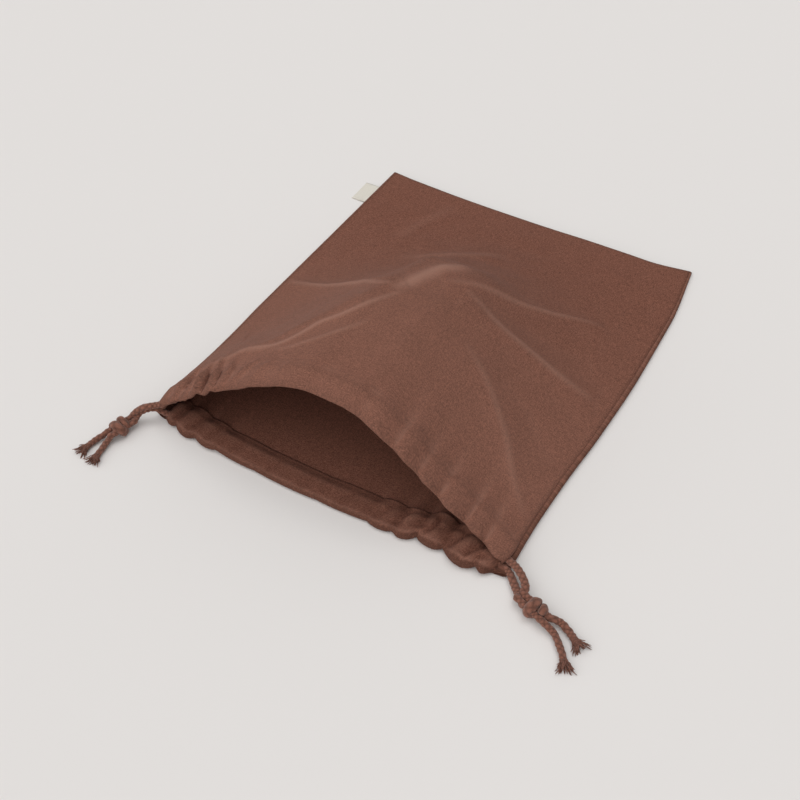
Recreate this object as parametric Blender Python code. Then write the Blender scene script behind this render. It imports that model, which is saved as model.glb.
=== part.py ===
"""Linen bread bag lying on a table, its mouth held open in an arch, a knotted cord at each corner.

Metres, +Z up. The bag lies on its back panel, with its closed end at +Y and its mouth at -Y.
The origin is on the table, under the middle of the cloth.
"""
import math

import bmesh
import bpy
import numpy as np
from mathutils import Matrix, Vector

# Cloth
SHEET = 0.0010
SEAM_GAP = 0.0003
HEM_DEPTH = 0.023
HEM_RUN_IN = 0.006
FRONT_HEM_PUFF = 0.0042
BACK_HEM_PUFF = 0.0036
NOSE_ROUNDING = 0.0040
NOSE_LEAST_SHARE = 0.28
HEM_THIN_SHARE = 0.07
FAR_PINCH = 0.00035
FAR_PINCH_DEPTH = 0.004
FAR_PINCH_SHARE = 0.97
TABLE_TOP = 0.0
SHARP_ANGLE = math.radians(50)

# Drawstrings
CORD_DIAMETER = 0.005
CORD_BEVEL_RESOLUTION = 2
CORD_POINT_SPACING = 1.2 * CORD_DIAMETER

# Folds
GATHER_FADE = 0.022
GATHER_ROUNDNESS = 0.6
SCALLOP_SHARE = 0.9
SEAM_CALM_POWER = 12
CREASE_CALM_DEPTH = 0.03
CREST_ROUNDING_SHARE = 0.25

# Mesh steps
TURN_STEPS = 6
CURVE_SAMPLES = 33


def table(columns, *rows):
    """Read a short table as one array for each named column."""
    return {name: np.array(values) for name, values in zip(columns, zip(*rows))}


# Outline on the table, seen from above
LEFT_SIDE = table(
    ("y", "x"),
    (-0.184, -0.1460),
    (-0.136, -0.1455),
    (-0.028, -0.1490),
    (0.085, -0.1480),
    (0.195, -0.1465),
)
RIGHT_SIDE = table(
    ("y", "x"),
    (-0.190, 0.1515),
    (-0.150, 0.1509),
    (-0.095, 0.1530),
    (-0.035, 0.1577),
    (0.040, 0.1606),
    (0.110, 0.1602),
    (0.185, 0.1535),
)
FAR_END = table(
    ("across", "y"),
    (-1.00, 0.1950),
    (-0.82, 0.1905),
    (0.08, 0.1815),
    (0.74, 0.1790),
    (1.00, 0.1850),
)
FRONT_MOUTH = table(
    ("across", "y"),
    (-1.00, -0.1800),
    (-0.80, -0.1800),
    (-0.55, -0.1770),
    (-0.17, -0.1765),
    (0.10, -0.1750),
    (0.42, -0.1768),
    (0.75, -0.1765),
    (0.86, -0.1785),
    (0.93, -0.1818),
    (0.97, -0.1836),
    (1.00, -0.1836),
)
BACK_MOUTH = table(
    ("across", "y"),
    (-1.00, -0.1780),
    (-0.93, -0.1805),
    (-0.86, -0.1825),
    (-0.60, -0.1880),
    (0.00, -0.1925),
    (0.48, -0.1915),
    (0.62, -0.1868),
    (0.74, -0.1888),
    (0.86, -0.1915),
    (0.95, -0.1920),
    (1.00, -0.1895),
)

# Side seams: the back panel turns up and over to meet the front panel's edge
SEAM_TURN = table(
    ("y", "left_height", "left_reach", "right_height", "right_reach"),
    (-0.190, 0.0146, 0.0066, 0.0052, 0.0088),
    (-0.184, 0.0148, 0.0066, 0.0052, 0.0062),
    (-0.178, 0.0150, 0.0064, 0.0052, 0.0038),
    (-0.170, 0.0155, 0.0062, 0.0052, 0.0032),
    (-0.150, 0.0154, 0.0058, 0.0048, 0.0031),
    (-0.124, 0.0120, 0.0044, 0.0045, 0.0031),
    (-0.100, 0.0086, 0.0034, 0.0042, 0.0032),
    (-0.060, 0.0046, 0.0022, 0.0039, 0.0033),
    (0.000, 0.0028, 0.0014, 0.0036, 0.0034),
    (0.110, 0.0020, 0.0010, 0.0026, 0.0024),
    (0.195, 0.0020, 0.0010, 0.0020, 0.0010),
)

# Height of the front panel above its side seams, on lines across the bag
ACROSS = np.array((-1.00, -0.80, -0.56, -0.30, -0.10, 0.14, 0.38, 0.62, 0.83, 1.00))
ARCH = table(
    ("y", "left", "left_low", "left_flank", "left_shoulder", "crest", "right_crest",
     "right_shoulder", "right_flank", "right_low", "right"),
    (-0.182, 0.0045, 0.027, 0.048, 0.069, 0.079, 0.076, 0.060, 0.030, 0.011, 0.003),
    (-0.130, 0.0025, 0.027, 0.050, 0.0745, 0.084, 0.083, 0.065, 0.036, 0.014, 0.002),
    (-0.080, 0.000, 0.018, 0.047, 0.075, 0.086, 0.085, 0.067, 0.039, 0.016, 0.000),
    (-0.030, 0.000, 0.012, 0.034, 0.062, 0.079, 0.080, 0.060, 0.034, 0.014, 0.000),
    (0.010, 0.000, 0.008, 0.024, 0.047, 0.070, 0.070, 0.047, 0.026, 0.010, 0.000),
    (0.050, 0.000, 0.005, 0.013, 0.028, 0.042, 0.041, 0.030, 0.017, 0.007, 0.000),
    (0.090, 0.000, 0.003, 0.007, 0.014, 0.020, 0.020, 0.016, 0.010, 0.004, 0.000),
    (0.130, 0.000, 0.002, 0.003, 0.006, 0.008, 0.009, 0.008, 0.006, 0.003, 0.000),
    (0.190, 0.000, 0.001, 0.001, 0.001, 0.001, 0.001, 0.002, 0.002, 0.001, 0.000),
)

# Creases of the front panel, each on a smooth line through three places
CREASES = table(
    ("x0", "y0", "x1", "y1", "x2", "y2", "lift", "width"),
    (-0.128, -0.150, -0.066, -0.126, -0.004, -0.040, 0.0060, 0.012),
    (-0.147, 0.004, -0.090, -0.017, -0.010, -0.046, 0.0078, 0.013),
    (-0.012, -0.044, 0.004, -0.008, 0.018, 0.017, 0.0030, 0.008),
    (-0.050, 0.066, -0.018, 0.082, 0.014, 0.098, 0.0030, 0.008),
    (0.016, -0.022, 0.066, 0.026, 0.118, 0.068, 0.0052, 0.012),
    (0.034, -0.052, 0.086, -0.031, 0.144, -0.015, 0.0056, 0.011),
    (0.066, -0.070, 0.106, -0.101, 0.146, -0.148, 0.0048, 0.010),
    (-0.060, 0.160, -0.078, 0.120, -0.082, 0.080, 0.0016, 0.010),
    (0.046, -0.014, 0.085, 0.002, 0.128, 0.024, -0.0035, 0.016),
    (0.085, -0.062, 0.112, -0.070, 0.142, -0.092, -0.0030, 0.014),
    (-0.122, -0.092, -0.080, -0.074, -0.040, -0.044, -0.0030, 0.018),
)

# Gathers of the front hem: where the drawstring pinches it, and the height of the puff before that
FRONT_PINCHES = table(
    ("x", "puff"),
    (-0.146, 0.0000),
    (-0.131, 0.0030),
    (-0.120, 0.0030),
    (-0.110, 0.0026),
    (-0.098, 0.0026),
    (-0.078, 0.0018),
    (-0.044, 0.0012),
    (-0.004, 0.0010),
    (0.032, 0.0014),
    (0.058, 0.0020),
    (0.080, 0.0028),
    (0.099, 0.0030),
    (0.117, 0.0032),
    (0.134, 0.0034),
    (0.153, 0.0030),
)
BACK_PINCHES = table(
    ("x", "puff"),
    (-0.1500, 0.0000),
    (-0.1255, 0.0044),
    (-0.1060, 0.0048),
    (-0.0860, 0.0030),
    (-0.0500, 0.0010),
    (0.0050, 0.0008),
    (0.0460, 0.0010),
    (0.0690, 0.0034),
    (0.0790, 0.0030),
    (0.0920, 0.0048),
    (0.1100, 0.0060),
    (0.1280, 0.0060),
    (0.1475, 0.0050),
    (0.1600, 0.0020),
)

# Steps of the panels from the closed end (0) to the mouth (1), as shares of the way
FRONT_ROWS = np.concatenate((
    (0.0, 0.006, 0.016),
    np.linspace(0.05, 0.42, 11),
    np.linspace(0.45, 0.88, 17),
    (0.905, 0.928, 0.945, 0.953, 0.962, 0.973, 0.984, 0.993, 0.998, 1.0),
))
BACK_ROWS = np.concatenate((
    (0.0, 0.008),
    np.linspace(0.06, 0.86, 16),
    (0.895, 0.925, 0.945, 0.956, 0.968, 0.981, 0.992, 0.998, 1.0),
))

# Label: a tab caught in the left seam
LABEL_LOW_Y = 0.140
LABEL_HIGH_Y = 0.167
LABEL_REACH = 0.0140
LABEL_THICKNESS = 0.0010
LABEL_SEAM_HEIGHT = 0.0011
LABEL_TIP_HEIGHT = 0.0003
LABEL_STEPS = 6

# Knots: a barrel with a flat end for the strands from the hem and one for the tails
KNOTS = {
    "right_knot": {"centre": (0.1784, -0.2068, 0.0068), "turn": -22.0, "half": (0.0098, 0.0084, 0.0068)},
    "left_knot": {"centre": (-0.1592, -0.2054, 0.0066), "turn": -106.0, "half": (0.0088, 0.0080, 0.0066)},
}
KNOT_RINGS = 8
KNOT_SIDES = 18
KNOT_END_SHARE = 0.84
KNOT_LOBES = 3
KNOT_LOBE_DEPTH = 0.09
KNOT_LOBE_TWIST = 1.3
PORT_SPREAD = CORD_DIAMETER / 2 + SEAM_GAP / 2
PORT_GAP = 0.0004
PORT_LEAD = 0.0045

# Drawstring routes: the free places of each, the knot it meets, at which end and on which side
STRANDS = {
    "right_strand_front": ("right_knot", -1, 1, (
        (0.1500, -0.1846, 0.0083), (0.1516, -0.1856, 0.0083), (0.1588, -0.1888, 0.0080),
        (0.1644, -0.1938, 0.0074),
    )),
    "right_strand_back": ("right_knot", -1, -1, (
        (0.1519, -0.1902, 0.0040), (0.1532, -0.1917, 0.0040), (0.1565, -0.1966, 0.0040),
        (0.1602, -0.2012, 0.0046),
    )),
    "left_strand_front": ("left_knot", -1, -1, (
        (-0.1410, -0.1805, 0.0192), (-0.1413, -0.1829, 0.0192), (-0.1465, -0.1856, 0.0178),
        (-0.1535, -0.1872, 0.0134),
    )),
    "left_strand_back": ("left_knot", -1, 1, (
        (-0.1440, -0.1787, 0.0084), (-0.1441, -0.1814, 0.0086), (-0.1475, -0.1862, 0.0088),
        (-0.1516, -0.1900, 0.0074),
    )),
}
TAILS = {
    "right_tail_long": ("right_knot", 1, -1, (
        (0.1995, -0.2182, 0.0038), (0.2064, -0.2240, 0.0028), (0.2104, -0.2295, 0.0028),
        (0.2142, -0.2365, 0.0028),
    )),
    "right_tail_short": ("right_knot", 1, 1, (
        (0.2000, -0.2104, 0.0040), (0.2074, -0.2126, 0.0030), (0.2120, -0.2158, 0.0028),
        (0.2160, -0.2205, 0.0028),
    )),
    "left_tail_long": ("left_knot", 1, -1, (
        (-0.1678, -0.2200, 0.0040), (-0.1712, -0.2270, 0.0028), (-0.1722, -0.2340, 0.0028),
        (-0.1738, -0.2400, 0.0028),
    )),
    "left_tail_short": ("left_knot", 1, 1, (
        (-0.1612, -0.2225, 0.0040), (-0.1594, -0.2310, 0.0028), (-0.1576, -0.2385, 0.0028),
        (-0.1556, -0.2450, 0.0028),
    )),
}

# Finishes: colour, roughness
LINEN = ("linen", (0.190, 0.080, 0.056), 0.92)
CORD = ("cord", (0.170, 0.066, 0.046), 0.95)
LABEL = ("label", (0.780, 0.730, 0.620), 0.85)


def curve(knots, values, at):
    """Read a smooth curve through the knots, which rises and falls only where they do."""
    step = np.diff(knots)
    slope = np.diff(values) / step
    tangent = np.empty(len(knots))
    tangent[0], tangent[-1] = slope[0], slope[-1]
    same_way = slope[:-1] * slope[1:] > 0
    total = np.where(same_way, slope[:-1] + slope[1:], 1.0)
    tangent[1:-1] = np.where(same_way, 2 * slope[:-1] * slope[1:] / total, 0.0)
    at = np.clip(at, knots[0], knots[-1])
    cell = np.clip(np.searchsorted(knots, at, side="right") - 1, 0, len(step) - 1)
    t = (at - np.asarray(knots)[cell]) / step[cell]
    start, end = np.asarray(values)[cell], np.asarray(values)[cell + 1]
    return (
        start * (1 + 2 * t) * (1 - t) ** 2
        + step[cell] * tangent[cell] * t * (1 - t) ** 2
        + end * t * t * (3 - 2 * t)
        - step[cell] * tangent[cell + 1] * t * t * (1 - t)
    )


def knot_port(knot, end, side):
    """Give the place where a cord meets a knot's flat end, and a place a little before it."""
    centre, turn = Vector(KNOTS[knot]["centre"]), math.radians(KNOTS[knot]["turn"])
    along = Vector((math.cos(turn), math.sin(turn), 0.0))
    beside = Vector((-along.y, along.x, 0.0))
    reach = KNOTS[knot]["half"][0] + PORT_GAP
    port = centre + along * end * reach + beside * side * PORT_SPREAD
    return tuple(port), tuple(port + along * end * PORT_LEAD)


def smooth_step(low, high, at):
    """Rise from 0 at low to 1 at high without a corner."""
    t = np.clip((at - low) / (high - low), 0.0, 1.0)
    return t * t * (3 - 2 * t)


def smooth_route(points, spacing):
    """Space points evenly along a smooth curve through a route's own points."""
    points = np.array(points)
    reach = np.concatenate(((0.0,), np.cumsum(np.linalg.norm(np.diff(points, axis=0), axis=1))))
    count = max(4, round(reach[-1] / spacing) + 1)
    at = np.linspace(0.0, reach[-1], count)
    return np.stack([curve(reach, points[:, axis], at) for axis in range(3)], axis=1)


def side_turns(y):
    """Give the turn of the back panel at both sides: its outer x, its height and its reach inwards."""
    left = curve(LEFT_SIDE["y"], LEFT_SIDE["x"], y)
    right = curve(RIGHT_SIDE["y"], RIGHT_SIDE["x"], y)
    turns = {name: curve(SEAM_TURN["y"], SEAM_TURN[name], y) for name in list(SEAM_TURN)[1:]}
    return (
        (left, turns["left_height"], turns["left_reach"]),
        (right, turns["right_height"], turns["right_reach"]),
    )


def puffs(pinches, x):
    """Height of the gathers at x: a soft puff between each two pinches."""
    cell = np.clip(np.searchsorted(pinches["x"], x, side="right"), 1, len(pinches["x"]) - 1)
    low, high = pinches["x"][cell - 1], pinches["x"][cell]
    t = np.clip((x - low) / (high - low), 0.0, 1.0)
    return pinches["puff"][cell] * np.sin(math.pi * t) ** GATHER_ROUNDNESS


def creases(x, y):
    """Height that the ridges and troughs add to the front panel."""
    total = np.zeros_like(x)
    along = np.linspace(0.0, 1.0, CURVE_SAMPLES)
    taper = np.sqrt(np.sin(math.pi * along))
    for row in range(len(CREASES["lift"])):
        line = [
            curve(np.array((0.0, 0.5, 1.0)), np.array([CREASES[f"{axis}{k}"][row] for k in range(3)]), along)
            for axis in "xy"
        ]
        distance = np.hypot(x[..., None] - line[0], y[..., None] - line[1])
        nearest = distance.argmin(axis=-1)
        width = CREASES["width"][row]
        rounding = CREST_ROUNDING_SHARE * width
        away = np.hypot(distance.min(axis=-1), rounding) - rounding
        total += CREASES["lift"][row] * taper[nearest] * np.exp(-away / width)
    return total


def arch(x_share, y):
    """Height of the front panel above its side seams, without creases."""
    columns = list(ARCH)[1:]
    lines = np.stack([curve(ARCH["y"], ARCH[name], y) for name in columns], axis=-1)
    flat_lines = lines.reshape(-1, len(columns))
    flat_share = x_share.reshape(-1)
    heights = [curve(ACROSS, line, np.array([share]))[0] for line, share in zip(flat_lines, flat_share)]
    return np.array(heights).reshape(x_share.shape)


def normals_of(points):
    """Unit normals of a grid of points, upright along its two sides so that seams stay open."""
    along = np.gradient(points, axis=0)
    across = np.gradient(points, axis=1)
    normal = np.cross(across, along)
    normal[:, (0, -1), :2] = 0.0
    return normal / np.linalg.norm(normal, axis=-1, keepdims=True)


def hem_thickness(from_mouth, puff):
    """Thickness at a distance from the mouth: a puffed hem with a round nose, then one sheet."""
    nose = np.sqrt(np.clip(1 - (1 - np.clip(from_mouth / NOSE_ROUNDING, 0, 1)) ** 2, 0.0, 1.0))
    hem = puff * (NOSE_LEAST_SHARE + (1 - NOSE_LEAST_SHARE) * nose)
    return hem + (SHEET - hem) * smooth_step(HEM_DEPTH - HEM_RUN_IN, HEM_DEPTH, from_mouth)


def half_thickness(share, from_mouth, puff):
    """Half the thickness of a panel, its hem thinning out to one sheet at the side seams."""
    hem = hem_thickness(from_mouth, puff) / 2
    return SHEET / 2 + (hem - SHEET / 2) * smooth_step(0.0, HEM_THIN_SHARE, 1 - np.abs(share))


def gather_reach(from_mouth):
    """Share of a gather's height that is left at a distance from the mouth."""
    return np.exp(-np.clip(from_mouth - HEM_DEPTH, 0, None) / GATHER_FADE)


def far_pinch(share, from_far):
    """How far each panel bends towards the other where they are sewn at the closed end."""
    return FAR_PINCH * (1 - smooth_step(0.0, FAR_PINCH_DEPTH, from_far)) * (np.abs(share) < FAR_PINCH_SHARE)


def front_shares():
    """Columns of the front panel, close together where the hem is gathered."""
    left = np.linspace(-1.0, -0.60, 17)
    middle = np.linspace(-0.60, 0.34, 15)[1:]
    right = np.linspace(0.34, 1.0, 29)[1:]
    return np.concatenate((left, middle, right))


def front_points():
    """Middle surface and half thickness of the front panel, as grids from far end to mouth."""
    share, row = np.meshgrid(front_shares(), FRONT_ROWS)
    far = curve(FAR_END["across"], FAR_END["y"], share)
    mouth = curve(FRONT_MOUTH["across"], FRONT_MOUTH["y"], share)
    y = far + (mouth - far) * row
    (left, left_height, left_reach), (right, right_height, right_reach) = side_turns(y)
    x_left = left + left_reach + SEAM_GAP
    x_right = right - right_reach - SEAM_GAP
    x = x_left + (x_right - x_left) * (share + 1) / 2
    from_far = (far - mouth) * row
    from_mouth = (far - mouth) * (1 - row)
    seam = SHEET / 2 + left_height + (right_height - left_height) * smooth_step(-1.0, 1.0, share)
    inside = 1 - np.abs(share) ** SEAM_CALM_POWER
    gathers = puffs(FRONT_PINCHES, x) * inside
    folds = creases(x, y) * inside * smooth_step(0.0, CREASE_CALM_DEPTH, from_mouth)
    z = seam + arch(share, y) + folds + gathers * gather_reach(from_mouth)
    z -= far_pinch(share, from_far)
    y -= SCALLOP_SHARE * gathers * (1 - smooth_step(0.0, HEM_DEPTH, from_mouth))
    return np.stack((x, y, z), axis=-1), half_thickness(share, from_mouth, FRONT_HEM_PUFF)


def back_shares():
    """Columns of the back panel between its side turns, close together where the hem is gathered."""
    left = np.linspace(-1.0, -0.58, 13)[1:]
    middle = np.linspace(-0.58, 0.36, 9)[1:]
    right = np.linspace(0.36, 1.0, 24)[1:-1]
    return np.concatenate((left, middle, right))


def back_points():
    """Middle surface and half thickness of the back panel, its sides turned up to the seams."""
    turn = np.linspace(0.0, math.pi, TURN_STEPS + 1)
    share = np.concatenate((np.full(len(turn), -1.0), back_shares(), np.full(len(turn), 1.0)))
    share, row = np.meshgrid(share, BACK_ROWS)
    far = curve(FAR_END["across"], FAR_END["y"], share)
    mouth = curve(BACK_MOUTH["across"], BACK_MOUTH["y"], share)
    y = far + (mouth - far) * row
    from_far, from_mouth = (far - mouth) * row, (far - mouth) * (1 - row)
    (left, left_height, left_reach), (right, right_height, right_reach) = side_turns(y)
    x_left, x_right = left + left_reach, right - right_reach
    x = x_left + (x_right - x_left) * (share + 1) / 2
    gathers = puffs(BACK_PINCHES, x) * smooth_step(0.0, HEM_THIN_SHARE, 1 - np.abs(share))
    past_hem = smooth_step(HEM_DEPTH - HEM_RUN_IN, HEM_DEPTH, from_mouth)
    half = half_thickness(share, from_mouth, BACK_HEM_PUFF) + gathers * (1 - past_hem) / 2
    z = half + gathers * gather_reach(from_mouth) * past_hem + far_pinch(share, from_far)
    y -= SCALLOP_SHARE * gathers * (1 - smooth_step(0.0, HEM_DEPTH, from_mouth))
    ends = slice(0, len(turn)), slice(-len(turn), None)
    x[:, ends[0]] = x_left[:, ends[0]] - left_reach[:, ends[0]] * np.sin(turn[::-1])
    z[:, ends[0]] = SHEET / 2 + left_height[:, ends[0]] * (1 - np.cos(turn[::-1])) / 2
    x[:, ends[1]] = x_right[:, ends[1]] + right_reach[:, ends[1]] * np.sin(turn)
    z[:, ends[1]] = SHEET / 2 + right_height[:, ends[1]] * (1 - np.cos(turn)) / 2
    return np.stack((x, y, z), axis=-1), half


def start_clean():
    """Remove every object of the file that this script runs in."""
    for item in list(bpy.data.objects):
        bpy.data.objects.remove(item, do_unlink=True)


def finish_of(name, colour, roughness):
    """Make one plain finish."""
    material = bpy.data.materials.get(name) or bpy.data.materials.new(name)
    material.use_nodes = True
    shader = material.node_tree.nodes["Principled BSDF"]
    shader.inputs["Base Color"].default_value = (*colour, 1.0)
    shader.inputs["Roughness"].default_value = roughness
    shader.inputs["Metallic"].default_value = 0.0
    return material


def add_object(name, data, finish):
    """Put a mesh or curve in the scene under its own name and finish."""
    item = bpy.data.objects.new(name, data)
    data.materials.append(finish_of(*finish))
    bpy.context.scene.collection.objects.link(item)
    return item


def sheet_object(name, middle, half, finish):
    """Build one closed sheet of cloth from its middle surface and half thickness."""
    rows, columns = half.shape
    normal = normals_of(middle)
    under, top = middle - normal * half[..., None], middle + normal * half[..., None]
    under[..., 2] = np.maximum(under[..., 2], TABLE_TOP)
    bm = bmesh.new()
    bmesh.ops.create_grid(bm, x_segments=columns - 1, y_segments=rows - 1, size=0.5)
    raised = bmesh.ops.extrude_face_region(bm, geom=bm.faces[:])["geom"]
    upper = {item for item in raised if isinstance(item, bmesh.types.BMVert)}
    for vert in bm.verts:
        place = round((0.5 - vert.co.y) * (rows - 1)), round((vert.co.x + 0.5) * (columns - 1))
        vert.co = Vector(top[place] if vert in upper else under[place])
    bmesh.ops.recalc_face_normals(bm, faces=bm.faces[:])
    mesh = bpy.data.meshes.new(name)
    bm.to_mesh(mesh)
    bm.free()
    mesh.shade_smooth()
    mesh.set_sharp_from_angle(angle=SHARP_ANGLE)
    return add_object(name, mesh, finish)


def cord_object(name, points):
    """Build one stretch of drawstring as a round tube with closed ends."""
    data = bpy.data.curves.new(name, "CURVE")
    data.dimensions = "3D"
    data.bevel_depth = CORD_DIAMETER / 2
    data.bevel_resolution = CORD_BEVEL_RESOLUTION
    data.use_fill_caps = True
    spline = data.splines.new("POLY")
    spline.points.add(len(points) - 1)
    for point, place in zip(spline.points, points):
        point.co = (*place, 1.0)
    return add_object(name, data, CORD)


def knot_object(name, centre, turn, half):
    """Build one tight knot as a lobed, twisted barrel with two flat ends."""
    bm = bmesh.new()
    bmesh.ops.create_cone(bm, cap_ends=True, segments=KNOT_SIDES, radius1=1.0, radius2=1.0, depth=2.0)
    lengthwise = [edge for edge in bm.edges if abs(edge.verts[0].co.z - edge.verts[1].co.z) > 1.0]
    bmesh.ops.subdivide_edges(bm, edges=lengthwise, cuts=KNOT_RINGS - 1, use_grid_fill=True)
    for vert in bm.verts:
        along, around = vert.co.z, math.atan2(vert.co.y, vert.co.x)
        waist = 1.0 - along ** 2
        lobe = math.cos(KNOT_LOBES * around + KNOT_LOBE_TWIST * along) - 1.0
        swell = KNOT_END_SHARE + (1 - KNOT_END_SHARE) * math.sqrt(waist) + KNOT_LOBE_DEPTH * lobe * waist
        beside, up = math.cos(around) * swell * half[1], math.sin(around) * swell * half[2]
        vert.co = Vector((along * half[0], beside, up))
    place = Matrix.Translation(centre) @ Matrix.Rotation(math.radians(turn), 4, "Z")
    bmesh.ops.transform(bm, matrix=place, verts=bm.verts[:])
    bmesh.ops.recalc_face_normals(bm, faces=bm.faces[:])
    mesh = bpy.data.meshes.new(name)
    bm.to_mesh(mesh)
    bm.free()
    mesh.shade_smooth()
    mesh.set_sharp_from_angle(angle=SHARP_ANGLE)
    return add_object(name, mesh, CORD)


def label_object():
    """Build the folded tab that is caught in the left seam, drooping to the table."""
    y = np.linspace(LABEL_HIGH_Y, LABEL_LOW_Y, 3)
    out = np.linspace(1.0, 0.0, LABEL_STEPS)
    reach, place_y = np.meshgrid(out, y)
    (left, _, _), _ = side_turns(place_y)
    x = left - SHEET / 2 - SEAM_GAP - LABEL_REACH * reach
    drop = smooth_step(0.0, 1.0, reach)
    z = LABEL_THICKNESS / 2 + LABEL_SEAM_HEIGHT + (LABEL_TIP_HEIGHT - LABEL_SEAM_HEIGHT) * drop
    half = np.full_like(x, LABEL_THICKNESS / 2)
    return sheet_object("label", np.stack((x, place_y, z), axis=-1), half, LABEL)


def build():
    """Build every piece of the bag."""
    start_clean()
    sheet_object("back_panel", *back_points(), LINEN)
    sheet_object("front_panel", *front_points(), LINEN)
    label_object()
    for name, (knot, end, side, places) in STRANDS.items():
        port, lead = knot_port(knot, end, side)
        cord_object(name, [places[0], *smooth_route((*places[1:], lead), CORD_POINT_SPACING), port])
    for name, (knot, end, side, places) in TAILS.items():
        port, lead = knot_port(knot, end, side)
        cord_object(name, [port, *smooth_route((lead, *places), CORD_POINT_SPACING)])
    for name, knot in KNOTS.items():
        knot_object(name, **knot)


build()
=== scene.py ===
"""Linen bread bag on a pale table.

Folded panels, gathered hems, braided drawstrings and a woven label. Metres, +Z up. The closed end
of the bag is at +Y and its mouth at -Y.
"""
from __future__ import annotations

import logging
import math
from dataclasses import dataclass, field
from enum import Enum
from typing import Iterable, Sequence, Union

import bmesh
import bpy
import numpy as np
from mathutils import Matrix, Vector


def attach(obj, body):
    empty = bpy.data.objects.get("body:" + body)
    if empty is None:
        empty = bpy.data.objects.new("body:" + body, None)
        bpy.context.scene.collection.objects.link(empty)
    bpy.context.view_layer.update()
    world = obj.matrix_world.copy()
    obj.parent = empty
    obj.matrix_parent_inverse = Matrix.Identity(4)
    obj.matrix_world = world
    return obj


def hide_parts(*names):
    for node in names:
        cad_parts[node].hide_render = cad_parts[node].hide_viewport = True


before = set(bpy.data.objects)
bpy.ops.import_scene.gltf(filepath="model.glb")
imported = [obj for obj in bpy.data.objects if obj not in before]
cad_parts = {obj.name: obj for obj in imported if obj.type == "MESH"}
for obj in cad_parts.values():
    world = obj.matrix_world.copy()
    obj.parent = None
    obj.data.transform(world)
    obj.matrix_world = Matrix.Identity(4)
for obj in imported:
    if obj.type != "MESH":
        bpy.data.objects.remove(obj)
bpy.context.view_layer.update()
BODY = "root"
LOG = logging.getLogger("bread_bag")

Array = np.ndarray
Point = tuple[float, float, float]
Colour = tuple[float, float, float]
Value = Union[float, "Wire"]


class Slot(Enum):
    """Material slots of the record."""

    LINEN = "linen"
    CORD = "cord"
    LABEL = "label"


class Layer(Enum):
    """Names of the map and of the point values that the cloth's materials read."""

    MAP = "cloth_map"
    # Paler colour for rubbing and painted highlight, on crests, on plait tops and on the cloth near
    # the mouth.
    WEAR_AND_HIGHLIGHT = "wear_and_highlight"
    # Painted shade: in hollows, between plaits, on turned edges, over the back hem and along the
    # label's edges.
    PAINTED_SHADE = "painted_shade"


@dataclass(frozen=True)
class Table:
    """A short table that is read by the names of its columns."""

    columns: tuple[str, ...]
    rows: tuple[tuple[float, ...], ...]

    def __getitem__(self, name: str) -> Array:
        """Give one column as an array."""
        return np.array([row[self.columns.index(name)] for row in self.rows])


def curve(knots: Array, values: Array, at: Array) -> Array:
    """Read smooth curves through the knots, which rise and fall only where they do.

    Args:
        knots: Rising places of the knots.
        values: Values at the knots, on the last axis.
        at: Places to read, one for each curve where values has more axes.

    Returns:
        The values at those places.
    """
    knots, values, at = np.asarray(knots, float), np.asarray(values, float), np.asarray(at, float)
    step = np.diff(knots)
    slope = np.diff(values, axis=-1) / step
    same_way = slope[..., :-1] * slope[..., 1:] > 0
    total = np.where(same_way, slope[..., :-1] + slope[..., 1:], 1.0)
    inner = np.where(same_way, 2 * slope[..., :-1] * slope[..., 1:] / total, 0.0)
    tangent = np.concatenate((slope[..., :1], inner, slope[..., -1:]), axis=-1)
    at = np.clip(at, knots[0], knots[-1])
    cell = np.clip(np.searchsorted(knots, at, side="right") - 1, 0, len(step) - 1)

    def pick(source: Array, index: Array) -> Array:
        """Read one value for each place."""
        if source.ndim == 1:
            return source[index]
        return np.take_along_axis(source, index[..., None], axis=-1)[..., 0]

    t = (at - knots[cell]) / step[cell]
    return (
        pick(values, cell) * (1 + 2 * t) * (1 - t) ** 2
        + step[cell] * pick(tangent, cell) * t * (1 - t) ** 2
        + pick(values, cell + 1) * t * t * (3 - 2 * t)
        - step[cell] * pick(tangent, cell + 1) * t * t * (1 - t)
    )


def smooth_step(low: float, high: float, at: Array) -> Array:
    """Rise from 0 at low to 1 at high without a corner."""
    t = np.clip((at - low) / (high - low), 0.0, 1.0)
    return t * t * (3 - 2 * t)


def unit(vectors: Array) -> Array:
    """Scale vectors to a length of one."""
    return vectors / np.linalg.norm(vectors, axis=-1, keepdims=True)


def reach_along(points: Array) -> Array:
    """Give the distance of each point along a line from its start."""
    steps = np.linalg.norm(np.diff(points, axis=0), axis=1)
    return np.concatenate(((0.0,), np.cumsum(steps)))


def smooth_route(points: Sequence[Point], spacing: float) -> Array:
    """Space points evenly along a smooth curve through a route's own points.

    Args:
        points: Places on the route.
        spacing: Distance between the new points.

    Returns:
        The new points, from the first place to the last.
    """
    places = np.array(points, float)
    reach = reach_along(places)
    knots = np.concatenate((places[:1] * 2 - places[1:2], places, places[-1:] * 2 - places[-2:-1]))
    count = max(4, round(reach[-1] / spacing) + 1)
    at = np.linspace(0.0, reach[-1], count)
    cell = np.clip(np.searchsorted(reach, at, side="right") - 1, 0, len(places) - 2)
    t = ((at - reach[cell]) / (reach[cell + 1] - reach[cell]))[:, None]
    before, start, end, after = (knots[cell + k] for k in range(4))
    route = 0.5 * (
        2 * start
        + (end - before) * t
        + (2 * before - 5 * start + 4 * end - after) * t ** 2
        + (3 * start - before - 3 * end + after) * t ** 3
    )
    length = reach_along(route)
    even = np.linspace(0.0, length[-1], count)
    return np.stack([np.interp(even, length, part) for part in route.T], axis=1)


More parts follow.
